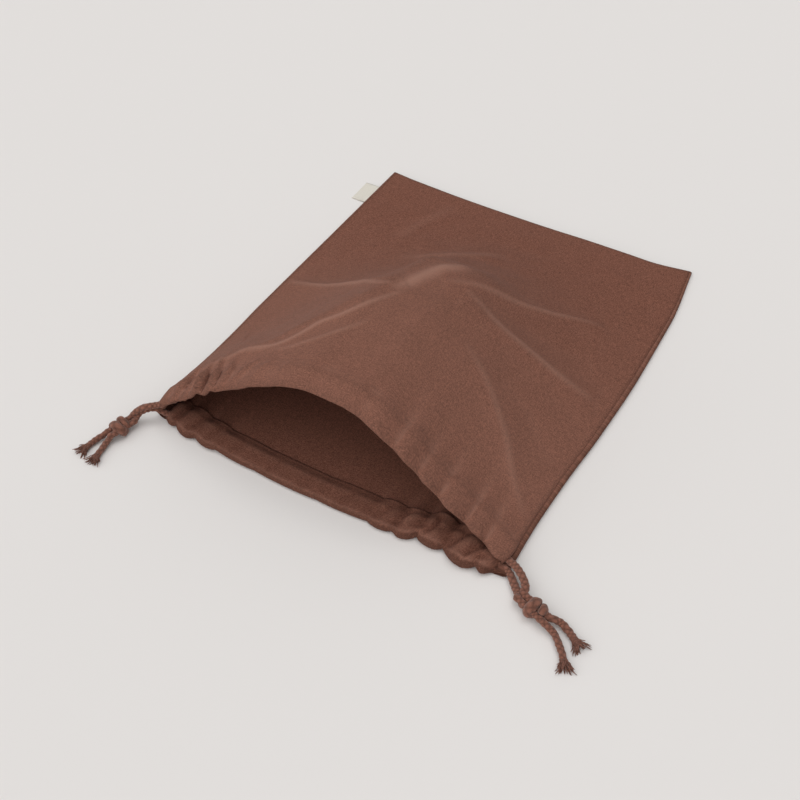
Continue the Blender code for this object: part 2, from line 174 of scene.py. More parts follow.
def link_mesh(name: str, bm: bmesh.types.BMesh, material: bpy.types.Material) -> bpy.types.Object:
    """Finish a bmesh as an object of the scene.

    Args:
        name: Name of the object.
        bm: Its mesh, which is freed.
        material: Its finish.

    Returns:
        The object, shaded smooth.
    """
    mesh = bpy.data.meshes.new(name)
    bm.to_mesh(mesh)
    bm.free()
    mesh.shade_smooth()
    mesh.materials.append(material)
    item = bpy.data.objects.new(name, mesh)
    bpy.context.scene.collection.objects.link(item)
    return item


def place_grid(
    bm: bmesh.types.BMesh, points: Array, flat: Array, values: dict[Layer, Array],
) -> None:
    """Add a grid of faces, with its map and point values.

    Args:
        bm: Mesh that takes the grid.
        points: Places of the grid, as rows and columns.
        flat: Map of the grid in metres, in the same rows and columns.
        values: Point values to write, in the same rows and columns.
    """
    rows, columns = points.shape[:2]
    layer_map = bm.loops.layers.uv.get(Layer.MAP.value) or bm.loops.layers.uv.new(Layer.MAP.value)
    layers = {
        layer: bm.verts.layers.float.get(layer.value) or bm.verts.layers.float.new(layer.value)
        for layer in (Layer.WEAR_AND_HIGHLIGHT, Layer.PAINTED_SHADE)
    }
    made = bmesh.ops.create_grid(bm, x_segments=columns - 1, y_segments=rows - 1, size=0.5)["verts"]
    spots = {}
    for vert in made:
        spot = round((0.5 - vert.co.y) * (rows - 1)), round((vert.co.x + 0.5) * (columns - 1))
        spots[vert] = spot
        vert.co = Vector(points[spot])
        for layer, made_layer in layers.items():
            if layer in values:
                vert[made_layer] = float(values[layer][spot])
    for face in {face for vert in made for face in vert.link_faces}:
        for loop in face.loops:
            loop[layer_map].uv = flat[spots[loop.vert]]


def relief_of(points: Array, sharpness: float) -> tuple[Array, Array]:
    """Find the crests and the hollows of a grid of points.

    Args:
        points: Places of the grid, as rows and columns.
        sharpness: Bend, in one over metres, that counts as a full crest or hollow.

    Returns:
        How far each point is a crest and how far a hollow, from 0 to 1.
    """
    bend = np.zeros(points.shape[:2])
    normal = unit(np.cross(np.gradient(points, axis=1), np.gradient(points, axis=0)))
    for axis in (0, 1):
        first = np.gradient(points, axis=axis)
        second = np.gradient(first, axis=axis)
        bend += (second * normal).sum(axis=-1) / np.maximum((first * first).sum(axis=-1), 1e-12)
    for _ in range(2):
        bend = sum(np.roll(bend, way, axis) for axis in (0, 1) for way in (1, -1)) / 4
    return np.clip(-bend / sharpness, 0, 1), np.clip(bend / sharpness, 0, 1)


class Wire:
    """A value in a material's node tree, which sums and products can be written with."""

    def __init__(self, graph: "Graph", socket: bpy.types.NodeSocket) -> None:
        """Keep the tree and the socket that the value comes from."""
        self.graph, self.socket = graph, socket

    def _sum(self, operation: str, *values: Value) -> "Wire":
        """Add one Math node."""
        return self.graph.add("ShaderNodeMath", {"operation": operation}, dict(enumerate(values)))

    def __add__(self, other: Value) -> "Wire":
        """Add."""
        return self._sum("ADD", self, other)

    def __radd__(self, other: Value) -> "Wire":
        """Add, with the number first."""
        return self._sum("ADD", other, self)

    def __sub__(self, other: Value) -> "Wire":
        """Subtract."""
        return self._sum("SUBTRACT", self, other)

    def __rsub__(self, other: Value) -> "Wire":
        """Subtract from a number."""
        return self._sum("SUBTRACT", other, self)

    def __mul__(self, other: Value) -> "Wire":
        """Multiply."""
        return self._sum("MULTIPLY", self, other)

    def __rmul__(self, other: Value) -> "Wire":
        """Multiply, with the number first."""
        return self._sum("MULTIPLY", other, self)

    def clamped(self) -> "Wire":
        """Keep the value from 0 to 1."""
        return self._sum("MINIMUM", self._sum("MAXIMUM", self, 0.0), 1.0)

    def sine(self) -> "Wire":
        """Take the sine of the value."""
        return self._sum("SINE", self)

    def size(self) -> "Wire":
        """Take the value without its sign."""
        return self._sum("ABSOLUTE", self)


class Graph:
    """The node tree of one material."""

    def __init__(self, name: str) -> None:
        """Start a material with one Principled shader."""
        self.material = bpy.data.materials.new(name)
        self.material.use_nodes = True
        self.nodes, self.links = self.material.node_tree.nodes, self.material.node_tree.links
        self.shader = self.nodes["Principled BSDF"]

    def fill(self, node: bpy.types.Node, values: dict) -> None:
        """Set or link the sockets of a node.

        Args:
            node: Node to fill.
            values: Values or wires, by the name or number of the socket.
        """
        for key, value in values.items():
            if isinstance(value, Wire):
                self.links.new(value.socket, node.inputs[key])
            else:
                node.inputs[key].default_value = value

    def add(self, kind: str, settings: dict, values: dict, output: Union[int, str] = 0) -> Wire:
        """Add one node of any kind.

        Args:
            kind: Type of the node.
            settings: Its own settings, which are set first.
            values: Values or wires of its sockets.
            output: Socket that the wire comes from.

        Returns:
            The wire from that socket.
        """
        node = self.nodes.new(kind)
        for key, value in settings.items():
            setattr(node, key, value)
        self.fill(node, values)
        return Wire(self, node.outputs[output])

    def map_place(self) -> Wire:
        """Read the piece's own map, in metres."""
        return self.add("ShaderNodeUVMap", {"uv_map": Layer.MAP.value}, {})

    def object_place(self) -> Wire:
        """Read the Object coordinates, in metres."""
        return self.add("ShaderNodeTexCoord", {}, {}, "Object")

    def noise(self, place: Wire, scale: float, detail: float) -> Wire:
        """Add soft noise around 0, with about that many spots to the metre."""
        values = {"Vector": place, "Scale": scale, "Detail": detail}
        return self.add("ShaderNodeTexNoise", {}, values) - 0.5

    def rib(self, place: Wire, pitch: float, axis: str) -> Wire:
        """Make waves along one axis of a map, with one rib to each pitch."""
        waves = self.scaled(place, (math.pi / pitch, math.pi / pitch, 1.0))
        return self.add("ShaderNodeSeparateXYZ", {}, {0: waves}, axis).sine()

    def scaled(self, place: Wire, scale: Point) -> Wire:
        """Stretch a place by a factor on each axis."""
        return self.add("ShaderNodeVectorMath", {"operation": "MULTIPLY"}, {0: place, 1: scale})

    def attribute(self, layer: Layer) -> Wire:
        """Read one of the point values."""
        return self.add("ShaderNodeAttribute", {"attribute_name": layer.value}, {}, "Fac")

    def mixed(self, share: Value, *colours: Union[Colour, Wire]) -> Wire:
        """Blend two colours, by how much of the second one there is."""
        first, second = (c if isinstance(c, Wire) else (*c, 1.0) for c in colours)
        settings = {"data_type": "RGBA", "blend_type": "MIX"}
        return self.add("ShaderNodeMix", settings, {0: share, 6: first, 7: second}, 2)

    def toned(self, tone: Wire, colour: Colour, dark: float, light: float) -> Wire:
        """Run from a darker to a lighter form of a colour.

        Args:
            tone: Where the result is between them, kept from 0 to 1.
            colour: The plain colour.
            dark: Factor of the colour at 0.
            light: Factor of the colour at 1.

        Returns:
            The colour.
        """
        first, second = (
            tuple(min(1.0, part * factor) for part in colour) for factor in (dark, light)
        )
        return self.mixed(tone.clamped(), first, second)

    def bumped(self, height: Wire, distance: float, strength: float) -> Wire:
        """Turn a height from 0 to 1 into a normal, for a relief of that depth in metres."""
        values = {"Height": height, "Distance": distance, "Strength": strength}
        return self.add("ShaderNodeBump", {}, values)

    def dress(self, **sockets: Union[Value, Colour]) -> bpy.types.Material:
        """Fill the shader's sockets, named with _ for a space, and give the material."""
        self.fill(self.shader, {key.replace("_", " "): value for key, value in sockets.items()})
        return self.material


@dataclass(frozen=True)
class LinenFinish:
    """Washed plain-weave linen with slubs, speckle, paler crests from rubbing and painted
    highlight, and painted shade.
    """

    name: str = "washed_linen"
    colour: Colour = (0.184, 0.0745, 0.049)
    dark: float = 0.52
    light: float = 1.48
    # Colour that crests and the cloth near the mouth turn towards, for rubbing and painted
    # highlight.
    pale: Colour = (0.36, 0.19, 0.14)
    thread: float = 0.00062
    weave_depth: float = 0.00016
    speckle: float = 2.40
    speckle_scale: float = 1120.0
    slub: float = 0.90
    slub_scale: float = 920.0
    slub_stretch: float = 0.24
    patches: float = 0.14
    patch_scale: float = 42.0
    wear_highlight_share: float = 0.72
    shade_share: float = 0.22
    roughness: float = 0.93
    sheen: float = 0.015

    def material(self) -> bpy.types.Material:
        """Build the finish on the cloth's own map."""
        graph = Graph(self.name)
        place = graph.map_place()
        warp, weft = (graph.rib(place, self.thread, axis) for axis in "XY")
        weave = (warp * weft).size() * 0.5 + (warp.size() + weft.size()) * 0.25
        warp_slub, weft_slub = (
            graph.noise(graph.scaled(place, stretch), self.slub_scale, 2.0)
            for stretch in ((1.0, self.slub_stretch, 1.0), (self.slub_stretch, 1.0, 1.0))
        )
        slubs = warp_slub + weft_slub
        speckle = graph.noise(place, self.speckle_scale, 3.0)
        patches = graph.noise(place, self.patch_scale, 3.0)
        tone = 0.5 + speckle * self.speckle + slubs * self.slub + patches * self.patches
        # Painted shade: darker in hollows, on turned edges and over the back hem.
        tone = tone - graph.attribute(Layer.PAINTED_SHADE) * self.shade_share
        # Rubbing and painted highlight: paler towards the pale colour on crests and near the mouth.
        wear_and_highlight = (graph.attribute(Layer.WEAR_AND_HIGHLIGHT) * self.wear_highlight_share).clamped()
        colour = graph.toned(tone, self.colour, self.dark, self.light)
        height = weave * 0.55 + slubs * 0.6 + speckle * 0.5
        return graph.dress(
            Base_Color=graph.mixed(wear_and_highlight, colour, self.pale),
            Roughness=(self.roughness - patches * 0.08).clamped(),
            Normal=graph.bumped(height, self.weave_depth, 0.9),
            Sheen_Weight=self.sheen,
            Sheen_Roughness=0.45,
            Sheen_Tint=(1.0, 0.86, 0.8, 1.0),
            Specular_IOR_Level=0.18,
        )


@dataclass(frozen=True)
class CordFinish:
    """Braided cotton yarn, fuzzy, with painted shade between its plaits and painted highlight on
    their tops.
    """

    name: str = "braided_cotton"
    colour: Colour = (0.208, 0.088, 0.06)
    dark: float = 0.42
    light: float = 1.55
    fibre_scale: float = 2300.0
    fibre_stretch: float = 0.35
    fibre_depth: float = 0.00035
    fluff_scale: float = 900.0
    shade_share: float = 0.50
    wear_highlight_share: float = 0.20
    speckle: float = 0.55
    sheen: float = 0.30

    def material(self) -> bpy.types.Material:
        """Build the finish on the cord's own map, which runs round it and along it."""
        graph = Graph(self.name)
        place = graph.map_place()
        stretched = graph.scaled(place, (1.0, self.fibre_stretch, 1.0))
        fibre = graph.noise(stretched, self.fibre_scale, 3.0)
        fluff = graph.noise(place, self.fluff_scale, 3.0)
        # Painted highlight on the tops of the plaits and painted shade between them.
        tone = 0.5 + (fibre + fluff) * self.speckle + graph.attribute(Layer.WEAR_AND_HIGHLIGHT) * self.wear_highlight_share
        tone = tone - graph.attribute(Layer.PAINTED_SHADE) * self.shade_share
        return graph.dress(
            Base_Color=graph.toned(tone, self.colour, self.dark, self.light),
            Roughness=(0.95 - fluff * 0.1).clamped(),
            Normal=graph.bumped(fibre + fluff, self.fibre_depth, 0.9),
            Sheen_Weight=self.sheen,
            Sheen_Roughness=0.5,
            Sheen_Tint=(1.0, 0.84, 0.77, 1.0),
            Specular_IOR_Level=0.15,
        )


@dataclass(frozen=True)
class LabelFinish:
    """Undyed woven cotton tape with a fine cross rib."""

    name: str = "woven_tape"
    colour: Colour = (0.71, 0.67, 0.59)
    dark: float = 0.80
    light: float = 1.14
    rib: float = 0.0006
    rib_depth: float = 0.00012
    speckle_scale: float = 1800.0

    def material(self) -> bpy.types.Material:
        """Build the finish on the tape's own map."""
        graph = Graph(self.name)
        place = graph.map_place()
        rib = graph.rib(place, self.rib, "Y").size()
        speckle = graph.noise(place, self.speckle_scale, 2.0)
        # Painted shade along the tape's two long edges.
        tone = 0.45 + rib * 0.3 + speckle * 0.5 - graph.attribute(Layer.PAINTED_SHADE) * 0.4
        return graph.dress(
            Base_Color=graph.toned(tone, self.colour, self.dark, self.light),
            Roughness=(0.86 + speckle * 0.1).clamped(),
            Normal=graph.bumped(rib + speckle, self.rib_depth, 0.8),
            Sheen_Weight=0.15,
            Specular_IOR_Level=0.2,
        )


@dataclass(frozen=True)
class ThreadFinish:
    """Sewing thread, twisted, a little paler than the cloth."""

    name: str = "sewing_thread"
    colour: Colour = (0.215, 0.1, 0.072)
    dark: float = 0.65
    light: float = 1.3
    twist: float = 0.0005
    twist_depth: float = 0.0001
    fluff_scale: float = 2500.0

    def material(self) -> bpy.types.Material:
        """Build the finish on Object coordinates."""
        graph = Graph(self.name)
        place = graph.object_place()
        waves = {"Vector": place, "Scale": 1 / self.twist}
        twist = graph.add("ShaderNodeTexWave", {"bands_direction": "DIAGONAL"}, waves)
        fluff = graph.noise(place, self.fluff_scale, 2.0)
        tone = twist * 0.5 + 0.25 + fluff * 0.6
        return graph.dress(
            Base_Color=graph.toned(tone, self.colour, self.dark, self.light),
            Roughness=(0.8 + fluff * 0.1).clamped(),
            Normal=graph.bumped(twist, self.twist_depth, 0.5),
            Specular_IOR_Level=0.25,
        )


@dataclass(frozen=True)
class FloorFinish:
    """Plain pale matt board."""

    name: str = "pale_board"
    colour: Colour = (0.79, 0.762, 0.742)
    dark: float = 0.995
    light: float = 1.005
    grain_scale: float = 6.0

    def material(self) -> bpy.types.Material:
        """Build the finish with a very faint grain."""
        graph = Graph(self.name)
        grain = graph.noise(graph.object_place(), self.grain_scale, 2.0)
        colour = graph.toned(0.5 + grain * 0.3, self.colour, self.dark, self.light)
        return graph.dress(Base_Color=colour, Roughness=0.95, Specular_IOR_Level=0.0)


# ---------------------------------------------------------------------------
# The bag's lines, shared by its panels
# ---------------------------------------------------------------------------

ACROSS = np.array((-1.0, -0.8, -0.56, -0.3, -0.1, 0.14, 0.38, 0.62, 0.83, 1.0))
SEAM_GAP = 0.0003
SHEET = 0.0010
HEM_DEPTH = 0.023
GATHER_FADE = 0.012
SCALLOP = 0.9
FOLDED_BACK = math.pi * 0.999
CREST_SPACING = 0.002
CREST_TAPER = 0.30
CREST_ROUND = 0.0008
THREAD_LIFT = 0.0001
UP = np.array((0.0, 0.0, 1.0))


@dataclass(frozen=True)
class Side:
    """The turn of the back panel at one side: its outer x, its height and its reach inwards."""

    x: Array
    height: Array
    reach: Array


@dataclass(frozen=True)
class Outline:
    """The bag's outline on the table and the turns of its side seams."""

    left: Table = Table(("y", "x"), (
        (-0.184, -0.146), (-0.136, -0.1455), (-0.028, -0.149), (0.085, -0.148), (0.195, -0.1465),
    ))
    right: Table = Table(("y", "x"), (
        (-0.19, 0.1515), (-0.15, 0.1509), (-0.095, 0.153), (-0.035, 0.1577), (0.04, 0.1606),
        (0.11, 0.1602), (0.185, 0.1535),
    ))
    far: Table = Table(("across", "y"), (
        (-1.0, 0.1946), (-0.82, 0.1898), (0.08, 0.18), (0.74, 0.1774), (1.0, 0.1836),
    ))
    front_mouth: Table = Table(("across", "y"), (
        (-1.0, -0.18), (-0.8, -0.18), (-0.55, -0.177), (-0.17, -0.1765), (0.1, -0.175),
        (0.42, -0.1768), (0.75, -0.1765), (0.86, -0.1785), (0.93, -0.1818), (0.97, -0.1836),
        (1.0, -0.1836),
    ))
    back_mouth: Table = Table(("across", "y"), (
        (-1.0, -0.178), (-0.93, -0.1805), (-0.86, -0.1825), (-0.6, -0.188), (0.0, -0.1925),
        (0.48, -0.1915), (0.62, -0.1868), (0.74, -0.1888), (0.86, -0.1915), (0.95, -0.192),
        (1.0, -0.1895),
    ))
    turn: Table = Table(("y", "left_height", "left_reach", "right_height", "right_reach"), (
        (-0.19, 0.0092, 0.0066, 0.0052, 0.0088),
        (-0.184, 0.0102, 0.0066, 0.0052, 0.0062),
        (-0.178, 0.0116, 0.0064, 0.0052, 0.0038),
        (-0.17, 0.0136, 0.0062, 0.0052, 0.0032),
        (-0.15, 0.0154, 0.0058, 0.0048, 0.0031),
        (-0.124, 0.012, 0.0044, 0.0045, 0.0031),
        (-0.1, 0.0086, 0.0034, 0.0042, 0.0032),
        (-0.06, 0.0046, 0.0022, 0.0039, 0.0033),
        (0.0, 0.0028, 0.0014, 0.0036, 0.0034),
        (0.11, 0.002, 0.001, 0.0026, 0.0024),
        (0.195, 0.002, 0.001, 0.002, 0.001),
    ))

    def sides(self, y: Array) -> tuple[Side, Side]:
        """Give the turn of the back panel at the left and at the right of each y."""
        return tuple(
            Side(
                curve(line["y"], line["x"], y),
                curve(self.turn["y"], self.turn[f"{name}_height"], y),
                curve(self.turn["y"], self.turn[f"{name}_reach"], y),
            )
            for name, line in (("left", self.left), ("right", self.right))
        )

    def lengthwise(self, share: Array, mouth: Table) -> tuple[Array, Array]:
        """Give the y of the closed end and of the mouth at each share of the width."""
        return (
            curve(self.far["across"], self.far["y"], share),
            curve(mouth["across"], mouth["y"], share),
        )


OUTLINE = Outline()


@dataclass(frozen=True)
class Lay:
    """Where the grid of a panel lies on its cloth, in rows and columns."""

    share: Array
    mouth: Array
    from_mouth: Array
    in_hem: Array
    angle: Array
    hemmed: Array


@dataclass(frozen=True)
class Hem:
    """A hem folded over the drawstring and stitched."""

    depth: float = HEM_DEPTH
    run_in: float = 0.0085
    nose: float = 0.0032
    thickness: float = 0.0042
    end_thickness: float = 0.0058
    end_share: float = 0.10
    tuck: float = 0.0008
    overlap: float = 0.0012

    def rows(self, body: int) -> tuple[Array, Array, Array]:
        """Lay out the rows of a panel along the cloth.

        Args:
            body: Number of rows from the closed end to the stitches.

        Returns:
            The share of the way from the stitches to the closed end, the distance from the mouth
            within the hem, and the angle round the hem's nose, for each row.
        """
        over = np.linspace(self.depth, self.nose, 17)[1:]
        nose = np.linspace(0.0, math.pi, 11)[1:-1]
        under = np.linspace(self.nose, self.depth + self.overlap, 15)
        zero, hemmed = np.zeros(body), len(over) + len(nose) + len(under)
        return (
            np.concatenate((np.linspace(1.0, 0.0, body), np.zeros(hemmed))),
            np.concatenate((zero + self.depth, over, self.nose * (1 - np.sin(nose)), under)),
            np.concatenate((zero, np.zeros(len(over)), nose, np.full(len(under), math.pi))),
        )

    def lay(self, body: int, across: Array, edge: Table) -> Lay:
        """Lay the grid of a panel on its cloth.

        Args:
            body: Number of rows from the closed end to the stitches.
            across: Share of the width of each column.
            edge: The panel's edge at the mouth.

        Returns:
            Where the grid lies.
        """
        way, in_hem, angle = self.rows(body)
        share, way = np.meshgrid(across, way)
        in_hem, angle = (np.broadcast_to(row[:, None], share.shape) for row in (in_hem, angle))
        far, mouth = OUTLINE.lengthwise(share, edge)
        from_mouth = in_hem + (far - mouth - self.depth) * way
        return Lay(share, mouth, from_mouth, in_hem, angle, way == 0)

    def swell(self, share: Array, from_mouth: Array) -> Array:
        """Give the height between the two layers of the hem, which closes at the stitches."""
        ends = smooth_step(1 - self.end_share, 1.0, np.abs(share))
        height = self.thickness + (self.end_thickness - self.thickness) * ends
        return height * (1 - smooth_step(self.depth - self.run_in, self.depth, from_mouth))

    def scalloped(self, y: Array, gathers: Array, from_mouth: Array) -> Array:
        """Push the edge at the mouth out where the gathers puff up."""
        return y - SCALLOP * gathers * (1 - smooth_step(0.0, self.depth, from_mouth))


def puffs(pinches: Table, x: Array, roundness: float) -> Array:
    """Height of the gathers at x: a soft puff between each two pinches of the drawstring."""
    places, heights = pinches["x"], pinches["puff"]
    cell = np.clip(np.searchsorted(places, x, side="right"), 1, len(places) - 1)
    low, high = places[cell - 1], places[cell]
    t = np.clip((x - low) / (high - low), 0.0, 1.0)
    return heights[cell] * np.sin(math.pi * t) ** roundness


def gather_reach(from_mouth: Array) -> Array:
    """Share of a gather's height that is left at a distance from the mouth."""
    return np.exp(-np.clip(from_mouth - HEM_DEPTH, 0, None) / GATHER_FADE)


def inside_box(line: Array, margin: float, x: Array, y: Array) -> Array:
    """Tell which places are no further from a line's box than the margin."""
    low, high = line.min(axis=0) - margin, line.max(axis=0) + margin
    return (x > low[0]) & (x < high[0]) & (y > low[1]) & (y < high[1])


def nearest_on(line: Array, x: Array, y: Array) -> tuple[Array, Array, Array]:
    """Find the nearest point of a line for each place.

    Args:
        line: Points of the line, close together.
        x: Places across.
        y: Places along.

    Returns:
        The number of the nearest point, its distance, and 1 at the line's left or -1 at its right.
    """
    heading = unit(np.gradient(line, axis=0))
    gap = np.stack((x, y), axis=-1)[:, None, :] - line
    distance = np.hypot(gap[..., 0], gap[..., 1])
    nearest = distance.argmin(axis=-1)
    rows = np.arange(len(nearest))
    beside, turn = gap[rows, nearest], heading[nearest]
    which_side = np.sign(turn[:, 0] * beside[:, 1] - turn[:, 1] * beside[:, 0])
    return nearest, distance[rows, nearest], which_side


def crease_heights(table: Table, x: Array, y: Array) -> Array:
    """Height that ridges and troughs add to a panel, each on a smooth line through three places.

    Args:
        table: Places, lift, width, lean and roundness of each crease.
        x: Places across.
        y: Places along.

    Returns:
        The height at each place.
    """
    total = np.zeros_like(x)
    along = np.linspace(0.0, 1.0, 49)
    taper = np.sqrt(np.sin(math.pi * along))
    for row in table.rows:
        crease = dict(zip(table.columns, row))
        ways = ([crease[f"{axis}{k}"] for k in range(3)] for axis in "xy")
        line = np.stack([curve((0.0, 0.5, 1.0), way, along) for way in ways], axis=-1)
        near = inside_box(line, 8 * crease["width"], x, y)
        nearest, distance, which_side = nearest_on(line, x[near], y[near])
        width = crease["width"] * (1 + crease["lean"] * which_side)
        rounding = crease["round"] * crease["width"]
        away = np.hypot(distance, rounding) - rounding
        total[near] += crease["lift"] * taper[nearest] * np.exp(-away / width)
    return total


@dataclass(frozen=True)
class Crest:
    """A thin pressed-in fold line on a smooth path, paler along its top from rubbing and painted
    highlight.
    """

    places: tuple[tuple[float, float], ...]
    lift: float
    width: float
    wear_highlight: float
    wear_highlight_width: float = 0.0030

    def add_to(self, height: Array, wear_highlight: Array, x: Array, y: Array) -> None:
        """Add the fold to the heights, and its paleness from rubbing and painted highlight, at each
        place.
        """
        line = smooth_route(self.places, CREST_SPACING)
        reach = reach_along(line)
        to_end = np.minimum(reach, reach[-1] - reach)
        taper = np.sqrt(np.clip(to_end / (CREST_TAPER * reach[-1]), 0, 1))
        near = inside_box(line, 5 * max(self.width, self.wear_highlight_width), x, y)
        nearest, distance, _ = nearest_on(line, x[near], y[near])
        fallen = np.exp(-np.hypot(distance, CREST_ROUND) / self.width)
        height[near] += self.lift * taper[nearest] * fallen
        # Rubbing and painted highlight: paler along the fold's top line, tapered at its ends.
        lightened = self.wear_highlight * taper[nearest] * np.exp(-(distance / self.wear_highlight_width) ** 2)
        wear_highlight[near] = np.maximum(wear_highlight[near], lightened)


def crest_layers(crests: Sequence[Crest], x: Array, y: Array) -> tuple[Array, Array]:
    """Give the height, and the paleness from rubbing and painted highlight, that a set of crests
    adds at each place.
    """
    height, wear_highlight = np.zeros_like(x), np.zeros_like(x)
    for crest in crests:
        crest.add_to(height, wear_highlight, x, y)
    return height, wear_highlight


@dataclass(frozen=True)
class Unevenness:
    """Soft waves that run in all directions, as on cloth that isn't ironed."""

    seed: int = 11
    waves: int = 26
    longest: float = 0.060
    shortest: float = 0.018
    height: float = 0.0004

    def at(self, x: Array, y: Array) -> Array:
        """Give the height at each place."""
        rng = np.random.default_rng(self.seed)
        total = np.zeros_like(x)
        for _ in range(self.waves):
            length = math.exp(rng.uniform(math.log(self.shortest), math.log(self.longest)))
            angle, phase = rng.uniform(0, math.pi), rng.uniform(0, 2 * math.pi)
            across = x * math.cos(angle) + y * math.sin(angle)
            total += length * np.sin(2 * math.pi / length * across + phase)
        return total / (self.longest * math.sqrt(self.waves) * 0.6) * self.height


def lengths_down(points: Array) -> Array:
    """Give the length of the cloth from the closed end, down each of its columns."""
    steps = np.linalg.norm(np.diff(points, axis=0), axis=-1)
    return np.concatenate((np.zeros((1, points.shape[1])), np.cumsum(steps, axis=0)))


def make_sheet(
    name: str, points: Array, flat: Array, values: dict[Layer, Array], thickness: float,
    finish: bpy.types.Material,
) -> bpy.types.Object:
    """Make a thin cloth from a grid.

    Args:
        name: Name of the piece.
        points: Places of the grid.
        flat: Map of the grid in metres.
        values: Point values of the grid.
        thickness: Thickness of the cloth, half to each side of the grid.
        finish: Finish of the cloth.

    Returns:
        The piece.
    """
    bm = bmesh.new()
    place_grid(bm, points, flat, values)
    bmesh.ops.recalc_face_normals(bm, faces=bm.faces[:])
    cloth = link_mesh(name, bm, finish)
    solid = cloth.modifiers.new("thickness", "SOLIDIFY")
    solid.thickness, solid.offset, solid.use_even_offset = thickness, 0.0, False
    return cloth


CREASE_COLUMNS = ("x0", "y0", "x1", "y1", "x2", "y2", "lift", "width", "lean", "round")


